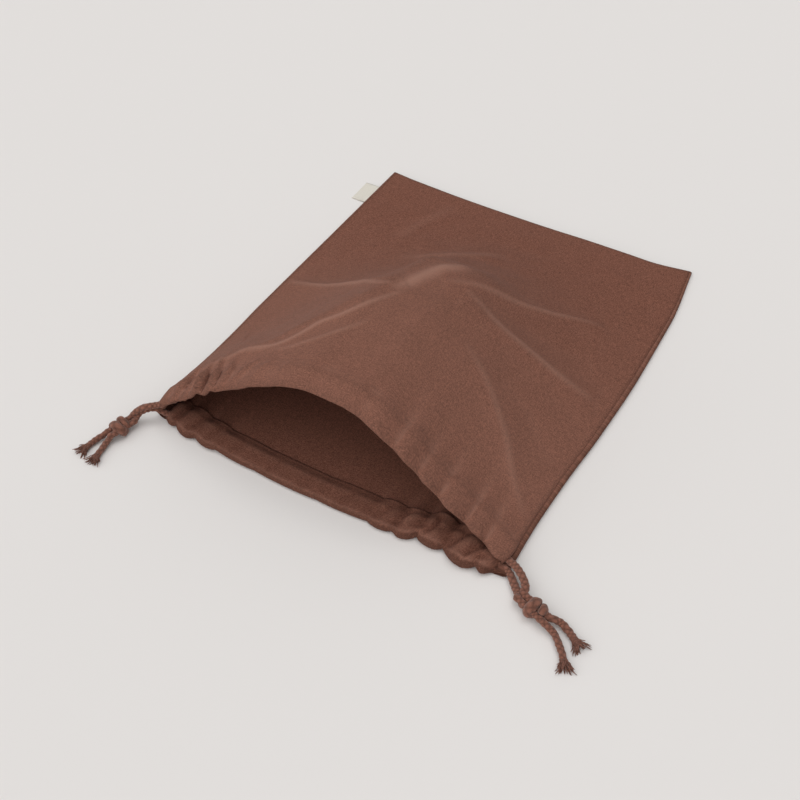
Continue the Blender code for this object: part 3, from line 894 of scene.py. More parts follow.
@dataclass
class FrontPanel:
    """The upper cloth, draped in an arch, with its hem folded over the drawstring."""

    sheet: float = 0.0006
    columns: int = 210
    body_rows: int = 142
    flat_width: float = 0.32
    flat_length: float = 0.40
    crowding: float = 0.06
    share_step: float = 0.002
    mouth_step: float = 0.0003
    roundness: float = 1.5
    sharpness: float = 200.0
    # Crests get paler from rubbing and painted highlight.
    ridge_wear_highlight: float = 0.35
    # Painted sheen: the cloth turns paler towards the mouth, over this range of length.
    mouth_sheen: float = 0.22
    sheen_ramp: tuple[float, float] = (0.05, 0.3)
    crease_start: float = 0.03
    calm_side: float = 0.12
    calm_end: float = 0.05
    end_y: float = 0.185
    seam_dip: float = 0.0024
    seam_drops: tuple[float, ...] = (4 / 18, 11 / 18, 1.0)
    seam_out: float = 0.00012
    seam_room: float = 0.006
    seam_share: float = 0.004
    uneven: Unevenness = Unevenness()
    hem: Hem = Hem()
    arch: Table = Table(
        ("y", "left", "left_low", "left_flank", "left_shoulder", "crest", "right_crest",
         "right_shoulder", "right_flank", "right_low", "right"),
        (
            (-0.182, 0.0045, 0.027, 0.048, 0.069, 0.079, 0.076, 0.06, 0.03, 0.011, 0.003),
            (-0.13, 0.0025, 0.027, 0.05, 0.0745, 0.084, 0.083, 0.065, 0.036, 0.014, 0.002),
            (-0.08, 0.0, 0.018, 0.047, 0.075, 0.086, 0.085, 0.067, 0.039, 0.016, 0.0),
            (-0.03, 0.0, 0.012, 0.034, 0.062, 0.079, 0.08, 0.06, 0.034, 0.014, 0.0),
            (0.01, 0.0, 0.008, 0.024, 0.047, 0.07, 0.07, 0.047, 0.026, 0.01, 0.0),
            (0.05, 0.0, 0.005, 0.013, 0.028, 0.042, 0.041, 0.03, 0.017, 0.007, 0.0),
            (0.09, 0.0, 0.003, 0.007, 0.014, 0.02, 0.02, 0.016, 0.01, 0.004, 0.0),
            (0.13, 0.0, 0.002, 0.003, 0.006, 0.008, 0.009, 0.008, 0.006, 0.003, 0.0),
            (0.19, 0.0, 0.001, 0.001, 0.001, 0.001, 0.001, 0.002, 0.002, 0.001, 0.0),
        ),
    )
    creases: Table = Table(CREASE_COLUMNS, (
        (-0.128, -0.15, -0.066, -0.126, -0.004, -0.04, 0.005, 0.012, 0.2, 0.25),
        (-0.147, 0.004, -0.09, -0.017, -0.01, -0.046, 0.0072, 0.013, 0.0, 0.25),
        (-0.012, -0.044, 0.004, -0.008, 0.018, 0.017, 0.0022, 0.007, 0.0, 0.25),
        (-0.05, 0.066, -0.018, 0.082, 0.014, 0.098, 0.0028, 0.008, 0.0, 0.25),
        (0.016, -0.022, 0.066, 0.026, 0.118, 0.068, 0.0042, 0.012, 0.15, 0.25),
        (0.036, -0.034, 0.086, -0.025, 0.144, -0.015, 0.0045, 0.011, 0.2, 0.25),
        (0.066, -0.07, 0.106, -0.101, 0.146, -0.148, 0.004, 0.01, 0.15, 0.25),
        (-0.06, 0.16, -0.078, 0.12, -0.082, 0.08, 0.0016, 0.01, 0.0, 0.25),
        (0.046, -0.014, 0.085, 0.002, 0.128, 0.024, -0.0035, 0.016, 0.0, 0.25),
        (0.085, -0.062, 0.112, -0.07, 0.142, -0.092, -0.003, 0.014, 0.0, 0.25),
        (-0.122, -0.092, -0.08, -0.074, -0.04, -0.044, -0.003, 0.018, 0.0, 0.25),
    ))
    # Fold lines, each paler along its top from rubbing and painted highlight.
    crests: tuple[Crest, ...] = (
        Crest(
            ((-0.118, -0.152), (-0.102, -0.148), (-0.0856, -0.1387), (-0.0596, -0.1364),
             (-0.046, -0.1245), (-0.0377, -0.1088), (-0.0251, -0.0961), (-0.0141, -0.0785),
             (-0.0011, -0.0488)),
            0.002, 0.0026, 0.8, 0.0022,
        ),
        Crest(
            ((-0.064, -0.14), (-0.0454, -0.1395), (-0.0194, -0.1188), (-0.0046, -0.0953)),
            0.0013, 0.0026, 0.42, 0.0022,
        ),
        Crest(
            ((-0.144, 0.003), (-0.095, -0.015), (-0.05, -0.036), (-0.0228, -0.0505),
             (-0.0083, -0.0469)),
            0.0016, 0.0026, 0.78, 0.0026,
        ),
        Crest(
            ((-0.014, -0.05), (-0.0083, -0.0469), (0.0, -0.0213), (0.0047, -0.0062),
             (0.0122, 0.0027), (0.0186, 0.017)),
            0.0012, 0.0044, 0.85, 0.006,
        ),
        Crest(
            ((0.015, -0.019), (0.0293, -0.0146), (0.0538, 0.0101), (0.0731, 0.0309),
             (0.1013, 0.0578), (0.118, 0.066)),
            0.0015, 0.0028, 0.52, 0.0026,
        ),
        Crest(
            ((0.033, -0.021), (0.0519, -0.0228), (0.069, -0.025), (0.0882, -0.0222),
             (0.1143, -0.019), (0.142, -0.0146)),
            0.0016, 0.0034, 0.52, 0.0034,
        ),
        Crest(
            ((0.056, -0.064), (0.069, -0.072), (0.0868, -0.0829), (0.1078, -0.1015),
             (0.1202, -0.1184), (0.1428, -0.1434)),
            0.0012, 0.0032, 0.34, 0.003,
        ),
        Crest(
            ((-0.07, 0.064), (-0.0523, 0.0702), (-0.0169, 0.0768), (-0.0014, 0.0986),
             (0.012, 0.108)),
            0.0008, 0.005, 0.3, 0.0055,
        ),
        Crest(
            ((-0.0671, 0.1698), (-0.083, 0.1302), (-0.0874, 0.0977)),
            0.0005, 0.005, 0.16, 0.005,
        ),
    )
    hem_folds: Table = Table(CREASE_COLUMNS, (
        (-0.141, -0.146, -0.133, -0.158, -0.127, -0.172, 0.007, 0.005, 0.3, 0.3),
        (-0.124, -0.152, -0.118, -0.166, -0.114, -0.181, -0.0052, 0.0026, 0.0, 0.1),
        (-0.112, -0.146, -0.106, -0.166, -0.101, -0.181, 0.0058, 0.0024, 0.35, 0.1),
        (-0.108, -0.15, -0.101, -0.166, -0.096, -0.18, -0.0036, 0.0022, 0.0, 0.1),
        (-0.103, -0.144, -0.095, -0.164, -0.09, -0.179, 0.0052, 0.0024, 0.35, 0.1),
        (-0.096, -0.15, -0.089, -0.165, -0.085, -0.178, -0.0022, 0.0022, 0.0, 0.15),
        (-0.09, -0.147, -0.083, -0.162, -0.08, -0.176, 0.003, 0.0024, 0.35, 0.15),
        (-0.063, -0.152, -0.069, -0.162, -0.074, -0.174, 0.003, 0.0026, 0.35, 0.15),
        (-0.06, -0.156, -0.064, -0.166, -0.068, -0.177, -0.0016, 0.0024, 0.0, 0.15),
        (-0.049, -0.152, -0.053, -0.164, -0.057, -0.177, 0.0012, 0.003, 0.2, 0.2),
        (-0.03, -0.152, -0.034, -0.164, -0.036, -0.177, 0.0009, 0.0034, 0.2, 0.2),
        (0.018, -0.176, 0.021, -0.164, 0.026, -0.15, 0.0009, 0.004, 0.0, 0.2),
        (0.044, -0.177, 0.048, -0.165, 0.055, -0.15, 0.0015, 0.004, 0.1, 0.2),
        (0.063, -0.178, 0.069, -0.166, 0.074, -0.152, 0.0018, 0.004, 0.2, 0.2),
        (0.086, -0.178, 0.09, -0.168, 0.098, -0.154, 0.0022, 0.004, 0.2, 0.2),
        (0.104, -0.179, 0.109, -0.168, 0.114, -0.156, 0.0012, 0.004, 0.2, 0.2),
        (0.122, -0.18, 0.127, -0.168, 0.13, -0.154, 0.0014, 0.004, 0.2, 0.2),
    ))
    pinches: Table = Table(("x", "puff"), (
        (-0.146, 0.0), (-0.131, 0.003), (-0.12, 0.003), (-0.11, 0.0026), (-0.098, 0.0026),
        (-0.078, 0.0018), (-0.044, 0.0012), (-0.004, 0.001), (0.032, 0.0016), (0.058, 0.003),
        (0.076, 0.0044), (0.092, 0.0036), (0.113, 0.0054), (0.129, 0.0044), (0.153, 0.004),
    ))

    def middle(self, share: Array, from_mouth: Array) -> Array:
        """Give the middle surface of the cloth.

        Args:
            share: Place across, from -1 at the left seam to 1 at the right one.
            from_mouth: Distance from the mouth's edge.

        Returns:
            Points in the same rows and columns.
        """
        _, mouth = OUTLINE.lengthwise(share, OUTLINE.front_mouth)
        y = mouth + from_mouth
        left, right = OUTLINE.sides(y)
        x_left = left.x + left.reach + SEAM_GAP
        x_right = right.x - right.reach - SEAM_GAP
        x = x_left + (x_right - x_left) * (share + 1) / 2
        rise = (right.height - left.height) * smooth_step(-1.0, 1.0, share)
        inside = 1 - np.abs(share) ** 12
        gathers = puffs(self.pinches, x, self.roundness) * inside
        lines = [curve(self.arch["y"], self.arch[name], y) for name in self.arch.columns[1:]]
        z = SHEET / 2 + left.height + rise + curve(ACROSS, np.stack(lines, axis=-1), share)
        z += gathers * gather_reach(from_mouth)
        started = smooth_step(0.0, self.crease_start, from_mouth)
        z += crease_heights(self.creases, x, y) * inside * started
        folds = crease_heights(self.hem_folds, x, y) + crest_layers(self.crests, x, y)[0]
        calm = smooth_step(0.0, self.calm_side, 1 - np.abs(share))
        calm = calm * smooth_step(0.0, self.calm_end, self.end_y - y)
        z += folds * inside + self.uneven.at(x, y) * calm
        return np.stack((x, self.hem.scalloped(y, gathers, from_mouth), z), axis=-1)

    def surface(self, share: Array, from_mouth: Array) -> tuple[Array, Array]:
        """Give the middle surface and its outward normals."""
        step, reach = self.share_step, self.mouth_step
        across, along = (
            self.middle(share + ds, from_mouth + dm) - self.middle(share - ds, from_mouth - dm)
            for ds, dm in ((step, 0.0), (0.0, reach))
        )
        return self.middle(share, from_mouth), unit(np.cross(across, along))

    def sewn_line(self, share: Array, from_mouth: Array) -> tuple[Array, Array]:
        """Give the places of a thread that lies on the cloth, and the way out of it there."""
        centre, normals = self.surface(share[:, None], from_mouth[:, None])
        return (centre + normals * (self.sheet / 2 + THREAD_LIFT))[:, 0], normals[:, 0]

    def shares(self) -> Array:
        """Give the columns across, closer together at the two sides of the mouth."""
        even = np.linspace(-1.0, 1.0, self.columns)
        return even + self.crowding * np.sin(math.pi * even)

    def build(self, finish: bpy.types.Material) -> bpy.types.Object:
        """Build the cloth as one sheet, from the closed end over the mouth's edge and back."""
        lay = self.hem.lay(self.body_rows, self.shares(), OUTLINE.front_mouth)
        points, normals = self.surface(lay.share, lay.from_mouth)
        # Paleness from rubbing and painted highlight along the fold lines, kept off the hem.
        wear_highlight = crest_layers(self.crests, points[..., 0], points[..., 1])[1]
        wear_highlight = wear_highlight * (lay.in_hem >= self.hem.depth)
        swell = self.hem.swell(lay.share, lay.from_mouth) * lay.hemmed
        full = self.hem.swell(lay.share, np.zeros_like(lay.share))
        closed = 1 - swell / np.maximum(full, 1e-9)
        tucked = self.hem.tuck * (lay.angle > FOLDED_BACK) * closed
        points = points + normals * (np.cos(lay.angle) * swell / 2 - tucked)[..., None]
        points, share = self.with_seams(points, lay.share)
        # Crests get rubbing and painted highlight, hollows painted shade.
        relief, painted_shade = relief_of(points, self.sharpness)
        lengths = lengths_down(points)
        added = (points.shape[1] - wear_highlight.shape[1]) // 2
        wear_and_highlight = self.ridge_wear_highlight * relief + np.pad(wear_highlight, ((0, 0), (added, added)))
        # Painted sheen: paler from 5 cm to 30 cm down the cloth from the closed end, and fully so
        # towards the mouth.
        wear_and_highlight = np.clip(wear_and_highlight + self.mouth_sheen * smooth_step(*self.sheen_ramp, lengths), 0, 1)
        flat = np.stack((share * self.flat_width / 2, lengths), axis=-1)
        values = {Layer.WEAR_AND_HIGHLIGHT: wear_and_highlight, Layer.PAINTED_SHADE: painted_shade}
        return make_sheet("front_cloth", points, flat, values, self.sheet, finish)

    def with_seams(self, points: Array, share: Array) -> tuple[Array, Array]:
        """Turn both sides down into the side seams.

        Args:
            points: Places of the cloth.
            share: Their shares across.

        Returns:
            The places and shares with the columns of the two seams added.
        """
        steps = np.arange(1, len(self.seam_drops) + 1)
        drops = np.array(self.seam_drops) * self.seam_dip
        turns, shares = [], []
        for column, outward, order in ((0, -1, slice(None, None, -1)), (-1, 1, slice(None))):
            turn = np.repeat(points[:, column, None], len(steps), axis=1)
            room = np.minimum(1.0, turn[..., 2] / self.seam_room)
            turn[..., 0] += outward * self.seam_out * steps[order]
            turn[..., 2] -= drops[order] * room
            turns.append(turn)
            shares.append(share[:, column, None] + outward * self.seam_share * steps[order])
        return (
            np.concatenate((turns[0], points, turns[1]), axis=1),
            np.concatenate((shares[0], share, shares[1]), axis=1),
        )


@dataclass
class BackPanel:
    """The lower cloth, flat on the table, turned up at the sides and hemmed to the inside."""

    sheet: float = 0.0006
    columns: int = 150
    body_rows: int = 96
    turn_columns: int = 9
    flat_width: float = 0.32
    flat_length: float = 0.41
    hem: Hem = Hem(thickness=0.0034, end_thickness=0.0052, nose=0.0022)
    pinches: Table = Table(("x", "puff"), (
        (-0.15, 0.0), (-0.1255, 0.0044), (-0.106, 0.0048), (-0.086, 0.003), (-0.05, 0.001),
        (0.005, 0.0008), (0.046, 0.001), (0.066, 0.0032), (0.083, 0.0044), (0.104, 0.0062),
        (0.13, 0.0068), (0.149, 0.0056), (0.16, 0.002),
    ))
    roundness: float = 0.6
    sharpness: float = 260.0
    # Paler crests from rubbing and painted highlight; painted shade on the hem's nose, the side
    # turns and over the hem.
    ridge_wear_highlight: float = 0.4
    shaded: float = 1.8
    hem_shade: float = 0.4
    calm_side: float = 0.07
    hem_run_out: float = 0.02
    fold_swell: float = 0.005
    folds: Table = Table(CREASE_COLUMNS, (
        (-0.133, -0.186, -0.127, -0.174, -0.124, -0.158, -0.0022, 0.0022, 0.4, 0.2),
        (-0.116, -0.186, -0.11, -0.174, -0.106, -0.158, -0.0026, 0.0024, 0.4, 0.2),
        (-0.097, -0.187, -0.092, -0.174, -0.09, -0.16, -0.0018, 0.0026, 0.4, 0.2),
        (-0.074, -0.19, -0.071, -0.176, -0.066, -0.16, -0.0014, 0.0028, 0.2, 0.2),
        (-0.04, -0.191, -0.036, -0.178, -0.032, -0.164, -0.0012, 0.003, 0.2, 0.2),
        (-0.012, -0.193, -0.008, -0.18, -0.006, -0.164, -0.0012, 0.0028, 0.2, 0.2),
        (0.022, -0.192, 0.026, -0.178, 0.032, -0.164, -0.0014, 0.0028, 0.2, 0.2),
        (0.05, -0.19, 0.055, -0.178, 0.062, -0.16, -0.002, 0.0026, 0.3, 0.2),
        (0.06, -0.183, 0.07, -0.18, 0.077, -0.169, 0.002, 0.0022, 0.0, 0.2),
        (0.066, -0.189, 0.07, -0.176, 0.082, -0.16, -0.0036, 0.0022, 0.4, 0.2),
        (0.076, -0.186, 0.09, -0.182, 0.099, -0.17, 0.0024, 0.0022, 0.0, 0.2),
        (0.084, -0.19, 0.092, -0.174, 0.09, -0.16, -0.004, 0.0022, -0.4, 0.2),
        (0.095, -0.178, 0.103, -0.171, 0.114, -0.168, -0.0028, 0.0022, 0.0, 0.2),
        (0.104, -0.193, 0.11, -0.18, 0.12, -0.166, -0.0046, 0.0024, 0.4, 0.2),
        (0.112, -0.19, 0.126, -0.187, 0.134, -0.176, 0.0026, 0.0022, 0.0, 0.2),
        (0.121, -0.193, 0.124, -0.182, 0.138, -0.17, -0.0032, 0.0022, 0.4, 0.2),
        (0.128, -0.193, 0.138, -0.187, 0.149, -0.179, 0.0034, 0.0022, 0.0, 0.2),
        (0.137, -0.194, 0.144, -0.184, 0.15, -0.172, -0.0038, 0.0022, 0.3, 0.2),
    ))
    valleys: Table = Table(("x", "lift", "peak"), (
        (-0.15, 0.002, 0.0044), (-0.106, 0.0024, 0.0048), (-0.06, 0.0006, 0.002),
        (0.04, 0.0004, 0.001), (0.069, 0.0014, 0.0032), (0.11, 0.0026, 0.006),
        (0.15, 0.0026, 0.0055),
    ))

    def build(self, finish: bpy.types.Material) -> bpy.types.Object:
        """Build the cloth as one sheet, with the hem folded back over its upper side."""
        turn = np.linspace(0.0, math.pi, self.turn_columns)
        inner = np.linspace(-1.0, 1.0, self.columns)[1:-1]
        across = np.concatenate((np.full(len(turn), -1.0), inner, np.full(len(turn), 1.0)))
        lay = self.hem.lay(self.body_rows, across, OUTLINE.back_mouth)
        y = lay.mouth + lay.from_mouth
        left, right = OUTLINE.sides(y)
        x_left, x_right = left.x + left.reach, right.x - right.reach
        x = x_left + (x_right - x_left) * (lay.share + 1) / 2
        calm = smooth_step(0.0, self.calm_side, 1 - np.abs(lay.share))
        gathers = puffs(self.pinches, x, self.roundness) * calm
        valley = curve(self.valleys["x"], self.valleys["lift"], x) * calm
        peak = np.maximum(curve(self.valleys["x"], self.valleys["peak"], x), 1e-6)
        body = smooth_step(self.hem.depth - self.hem.run_in, self.hem.depth, lay.from_mouth)
        pinched = valley * (1 - np.clip(gathers / peak, 0, 1))
        lower = SHEET / 2 + pinched * (1 - body) + gathers * gather_reach(lay.from_mouth) * body
        ends = smooth_step(0.0, self.hem_run_out, 1 - np.abs(lay.share))
        swell = self.hem.swell(lay.share, lay.from_mouth) + gathers * (1 - body)
        swell = swell * lay.hemmed * ends
        closed = 1 - self.hem.swell(np.zeros_like(x), lay.from_mouth) / self.hem.thickness
        raised = (1 - np.cos(lay.angle)) / 2
        folded = np.where(lay.angle > FOLDED_BACK, np.maximum(closed, 1 - ends), 0.0)
        lift = folded * self.hem.tuck
        upper = np.clip(swell / self.fold_swell, 0, 1) * raised * calm
        z = lower + raised * swell + lift + crease_heights(self.folds, x, y) * upper
        y = self.hem.scalloped(y, gathers, lay.from_mouth)
        # The hem's nose and the side turns: painted shade there and no painted highlight.
        edge = np.clip(1.5 * np.sin(lay.angle), 0, 1)
        for columns, side, start, sign, sweep in (
            (slice(0, len(turn)), left, x_left, -1, turn[::-1]),
            (slice(-len(turn), None), right, x_right, 1, turn),
        ):
            raise_by = lift[:, columns]
            reach = side.reach[:, columns] - raise_by
            height = side.height[:, columns] - 2 * raise_by
            x[:, columns] = start[:, columns] + sign * reach * np.sin(sweep)
            z[:, columns] = SHEET / 2 + raise_by + height * (1 - np.cos(sweep)) / 2
            edge[:, columns] = np.maximum(edge[:, columns], np.sin(sweep))
        points = np.stack((x, y, z), axis=-1)
        relief, painted_shade = relief_of(points, self.sharpness)
        # Rubbing and painted highlight on crests; painted shade in hollows, on the nose and turns,
        # and over the hem.
        values = {
            Layer.WEAR_AND_HIGHLIGHT: self.ridge_wear_highlight * relief * (1 - edge),
            Layer.PAINTED_SHADE: np.maximum(painted_shade, self.shaded * edge) + self.hem_shade * lay.hemmed,
        }
        flat = np.stack((lay.share * self.flat_width / 2, lengths_down(points)), axis=-1)
        return make_sheet("back_cloth", points, flat, values, self.sheet, finish)


@dataclass(frozen=True)
class KnotPlace:
    """Where a knot sits, which way its cords run through it, and half its size."""

    centre: Point
    turn: float
    half: Point

    def axes(self) -> tuple[Array, Array]:
        """Give the way along the cords and the way beside them."""
        angle = math.radians(self.turn)
        along = np.array((math.cos(angle), math.sin(angle), 0.0))
        return along, np.cross(UP, along)

    def port(self, end: int, side: int, spread: float) -> Array:
        """Give the place where a cord goes into the knot's end."""
        along, beside = self.axes()
        reach = self.half[0] + 0.0004
        return np.array(self.centre) + along * end * reach + beside * side * spread


@dataclass(frozen=True)
class CordRun:
    """One free cord from inside the hem, through the knot, to its frayed end."""

    name: str
    nodes: tuple[str, ...]
    knot: KnotPlace
    inside: tuple[Point, ...]
    places: tuple[Point, ...]
    sides: tuple[int, int]
    tail: tuple[Point, ...]


RIGHT_KNOT = KnotPlace((0.1784, -0.2068, 0.0068), -22.0, (0.0098, 0.0084, 0.0068))
LEFT_KNOT = KnotPlace((-0.1592, -0.2054, 0.0066), -106.0, (0.0088, 0.008, 0.0066))

CORD_RUNS = (
    CordRun(
        "right_front_cord", ("right_strand_front", "right_tail_short"), RIGHT_KNOT,
        ((0.136, -0.1748, 0.0064), (0.1435, -0.1774, 0.0068)),
        ((0.1492, -0.1802, 0.0076), (0.1548, -0.1828, 0.0082), (0.1622, -0.1882, 0.008),
         (0.1674, -0.1946, 0.0074)),
        (1, 1),
        ((0.1978, -0.2068, 0.004), (0.2034, -0.209, 0.0032), (0.2078, -0.2116, 0.0028),
         (0.2106, -0.2136, 0.0028)),
    ),
    CordRun(
        "right_back_cord", ("right_strand_back", "right_tail_long"), RIGHT_KNOT,
        ((0.138, -0.183, 0.004), (0.146, -0.184, 0.004)),
        ((0.1526, -0.1868, 0.0036), (0.1564, -0.1906, 0.0036), (0.1612, -0.1958, 0.0038),
         (0.1654, -0.2006, 0.0046)),
        (-1, -1),
        ((0.1972, -0.2162, 0.0038), (0.2032, -0.2218, 0.0032), (0.2082, -0.2276, 0.0028),
         (0.2104, -0.231, 0.0028)),
    ),
    CordRun(
        "left_front_cord", ("left_strand_front", "left_tail_long"), LEFT_KNOT,
        ((-0.126, -0.1745, 0.025), (-0.134, -0.1765, 0.02)),
        ((-0.141, -0.18, 0.0165), (-0.147, -0.1845, 0.016), (-0.1522, -0.1872, 0.0138),
         (-0.1562, -0.1908, 0.0104)),
        (-1, -1),
        ((-0.1664, -0.216, 0.0044), (-0.1686, -0.2208, 0.0036), (-0.1702, -0.2256, 0.0028),
         (-0.171, -0.23, 0.0028)),
    ),
    CordRun(
        "left_back_cord", ("left_strand_back", "left_tail_short"), LEFT_KNOT,
        ((-0.129, -0.176, 0.005), (-0.137, -0.177, 0.0065)),
        ((-0.144, -0.18, 0.011), (-0.149, -0.1838, 0.0118), (-0.154, -0.188, 0.009),
         (-0.1546, -0.1922, 0.0068)),
        (1, 1),
        ((-0.1604, -0.218, 0.0042), (-0.1602, -0.2232, 0.0034), (-0.1596, -0.2286, 0.0028),
         (-0.159, -0.233, 0.0028)),
    ),
)


@dataclass
class Braid:
    """A soft round braid of yarns that cross over and under, a little flat."""

    diameter: float = 0.0050
    wide: float = 1.16
    flat: float = 0.96
    plait: float = 0.0042
    relief: float = 0.17
    wobble: float = 0.05
    sides: int = 28
    strands: int = 3
    spacing: float = 0.00055

    def frames(self, path: Array) -> tuple[Array, Array]:
        """Carry two cross directions along a path without twist.

        Args:
            path: Points down the middle of the cord.

        Returns:
            The direction beside and the direction above at each point.
        """
        heading = unit(np.gradient(path, axis=0))
        above = np.cross(np.cross(heading[0], UP), heading[0])
        beside_all, above_all = [], []
        for step in heading:
            above = unit(above - step * (above @ step))
            beside_all.append(np.cross(step, above))
            above_all.append(above)
        return np.array(beside_all), np.array(above_all)

    def add_to(
        self, bm: bmesh.types.BMesh, path: Array, seed: int, taper: tuple[float, float],
    ) -> None:
        """Add one stretch of cord.

        Args:
            bm: Mesh that takes it.
            path: Points down its middle, close together.
            seed: Start of its random draws.
            taper: Thickness of its first and last ring, as a share.
        """
        rng = np.random.default_rng(seed)
        beside, above = self.frames(path)
        reach = reach_along(path)

        def drift(swing: float, count: int) -> Array:
            """Draw values that wander along the cord."""
            draws = rng.uniform(-swing, swing, count)
            return np.interp(reach, np.linspace(0, reach[-1], count), draws)[:, None]

        around = np.linspace(0.0, 2 * math.pi, self.sides + 1)
        angle, along = np.meshgrid(around, reach)
        turn, pace = self.strands * angle / (2 * math.pi), along / self.plait + drift(0.35, 17)
        plait = np.abs(np.sin(math.pi * (turn + pace)) * np.sin(math.pi * (turn - pace))) ** 0.6
        radius = self.diameter / 2 * (1 - self.relief * (1 - plait))
        radius = radius * (1 + self.wobble * drift(1.0, 24))
        ends = np.minimum(*(
            share + (1 - share) * np.sqrt(np.clip(room / (self.diameter * 0.4), 0, 1))
            for share, room in zip(taper, (reach, reach[-1] - reach))
        ))[:, None]
        points = (
            path[:, None]
            + beside[:, None] * (np.sin(angle) * radius * self.wide * ends)[..., None]
            + above[:, None] * (np.cos(angle) * radius * self.flat * ends)[..., None]
        )
        flat = np.stack((angle * self.diameter / 2, along), axis=-1)
        piece = bmesh.new()
        # Painted shade between the plaits and painted highlight on their tops.
        place_grid(piece, points, flat, {Layer.PAINTED_SHADE: (1 - plait) ** 1.6, Layer.WEAR_AND_HIGHLIGHT: plait ** 3})
        bmesh.ops.remove_doubles(piece, verts=piece.verts[:], dist=1e-6)
        open_edges = [edge for edge in piece.edges if edge.is_boundary]
        bmesh.ops.holes_fill(piece, edges=open_edges, sides=0)
        bmesh.ops.recalc_face_normals(piece, faces=piece.faces[:])
        merge(bm, piece)


def merge(bm: bmesh.types.BMesh, piece: bmesh.types.BMesh) -> None:
    """Add a small mesh to a larger one and free it."""
    data = bpy.data.meshes.new("piece")
    piece.to_mesh(data)
    piece.free()
    bm.from_mesh(data)
    bpy.data.meshes.remove(data)


@dataclass
class Drawstrings:
    """The free ends of both drawstrings, knotted in pairs at the corners of the mouth."""

    braid: Braid = field(default_factory=Braid)
    spread: float = 0.00265
    lead_in: float = 0.0020
    lead_out: float = 0.0015
    fray_fibres: int = 84
    fray_length: float = 0.0104
    fray_seed: int = 40
    fibre: float = 0.00032
    knot_seed: int = 5
    knot_turns: float = 1.7
    knot_wander: float = 0.0014

    def path(self, run: CordRun) -> Array:
        """Give the points down the middle of one cord, from inside the hem to its frayed end."""
        along, _ = run.knot.axes()
        way_in, way_out = (
            run.knot.port(end, side, self.spread) for end, side in zip((-1, 1), run.sides)
        )
        through = (way_in - along * self.lead_in, way_in, way_out, way_out + along * self.lead_out)
        return smooth_route((*run.inside, *run.places, *through, *run.tail), self.braid.spacing)

    def build(self, finish: bpy.types.Material) -> list[tuple[CordRun, bpy.types.Object, Array]]:
        """Build the four cords, each from inside the hem to its tail; fray builds the loose yarns.
        """
        made = []
        for seed, run in enumerate(CORD_RUNS):
            path = self.path(run)
            bm = bmesh.new()
            self.braid.add_to(bm, path, seed, (0.6, 0.8))
            made.append((run, link_mesh(run.name, bm, finish), path))
        return made

    def fray(
        self, run: CordRun, path: Array, seed: int, finish: bpy.types.Material,
    ) -> bpy.types.Object:
        """Build the loose yarns at the end of one cord.

        Args:
            run: The cord.
            path: Points down its middle.
            seed: Added to the start of the random draws.
            finish: Finish of the yarns.

        Returns:
            One piece with all of them.
        """
        rng = np.random.default_rng(self.fray_seed + seed)
        heading = unit(path[-1] - path[-6])
        beside = np.cross(heading, UP)
        yarn = Braid(
            diameter=self.fibre * 2, wide=1.0, flat=1.0, plait=0.0024, relief=0.12, sides=5,
            strands=1,
        )
        bm = bmesh.new()
        for _ in range(self.fray_fibres):
            angle = rng.uniform(0, 2 * math.pi)
            out = math.sqrt(rng.uniform(0, 1)) * self.braid.diameter * 0.42
            root = path[-3] + (beside * math.cos(angle) + UP * math.sin(angle) * 0.8) * out
            length = self.fray_length * rng.uniform(0.4, 1.1)
            splay = beside * (math.cos(angle) * 0.34 + rng.normal(0, 0.2))
            splay = splay + UP * (math.sin(angle) * 0.2 - 0.1)
            places = []
            for t in np.linspace(0, 1, 5):
                curl = beside * rng.normal(0, 0.00025) + heading * rng.normal(0, 0.0002)
                spot = root + heading * length * t + splay * length * t * t + curl
                spot[2] = max(spot[2], self.fibre)
                places.append(spot)
            yarn.add_to(bm, smooth_route(places, length / 8), int(rng.integers(1000)), (0.9, 0.35))
        return link_mesh(f"{run.name}_fray", bm, finish)

    def knot(
        self, name: str, place: KnotPlace, start: float, finish: bpy.types.Material,
    ) -> bpy.types.Object:
        """Build the turns of cord that a knot wraps round its two cords.

        Args:
            name: Name of the piece.
            place: The knot.
            start: Angle of the first turn in degrees.
            finish: Finish of the cord.

        Returns:
            The piece.
        """
        along, beside = place.axes()
        thick = Braid(
            diameter=self.braid.diameter * 1.38, wide=1.2, plait=self.braid.plait * 1.1,
            relief=0.13,
        )
        half_cord = thick.diameter / 2
        t = np.linspace(0.0, 1.0, 26)
        angle = math.radians(start) + 2 * math.pi * self.knot_turns * t
        tuck = 0.35 + 0.65 * np.sin(math.pi * t) ** 0.35
        reach, wide, high = (half - half_cord for half in place.half)
        run = (t - 0.5) * 2 * reach + self.knot_wander * np.sin(angle + 0.6)
        places = (
            np.array(place.centre) + run[:, None] * along
            + (np.cos(angle) * wide * tuck)[:, None] * beside
            + (np.sin(angle) * high * tuck)[:, None] * UP
        )
        places[:, 2] = np.maximum(places[:, 2], 1.1 * half_cord)
        bm = bmesh.new()
        route = smooth_route(places, self.braid.spacing)
        thick.add_to(bm, route, self.knot_seed, (0.7, 0.7))
        return link_mesh(name, bm, finish)


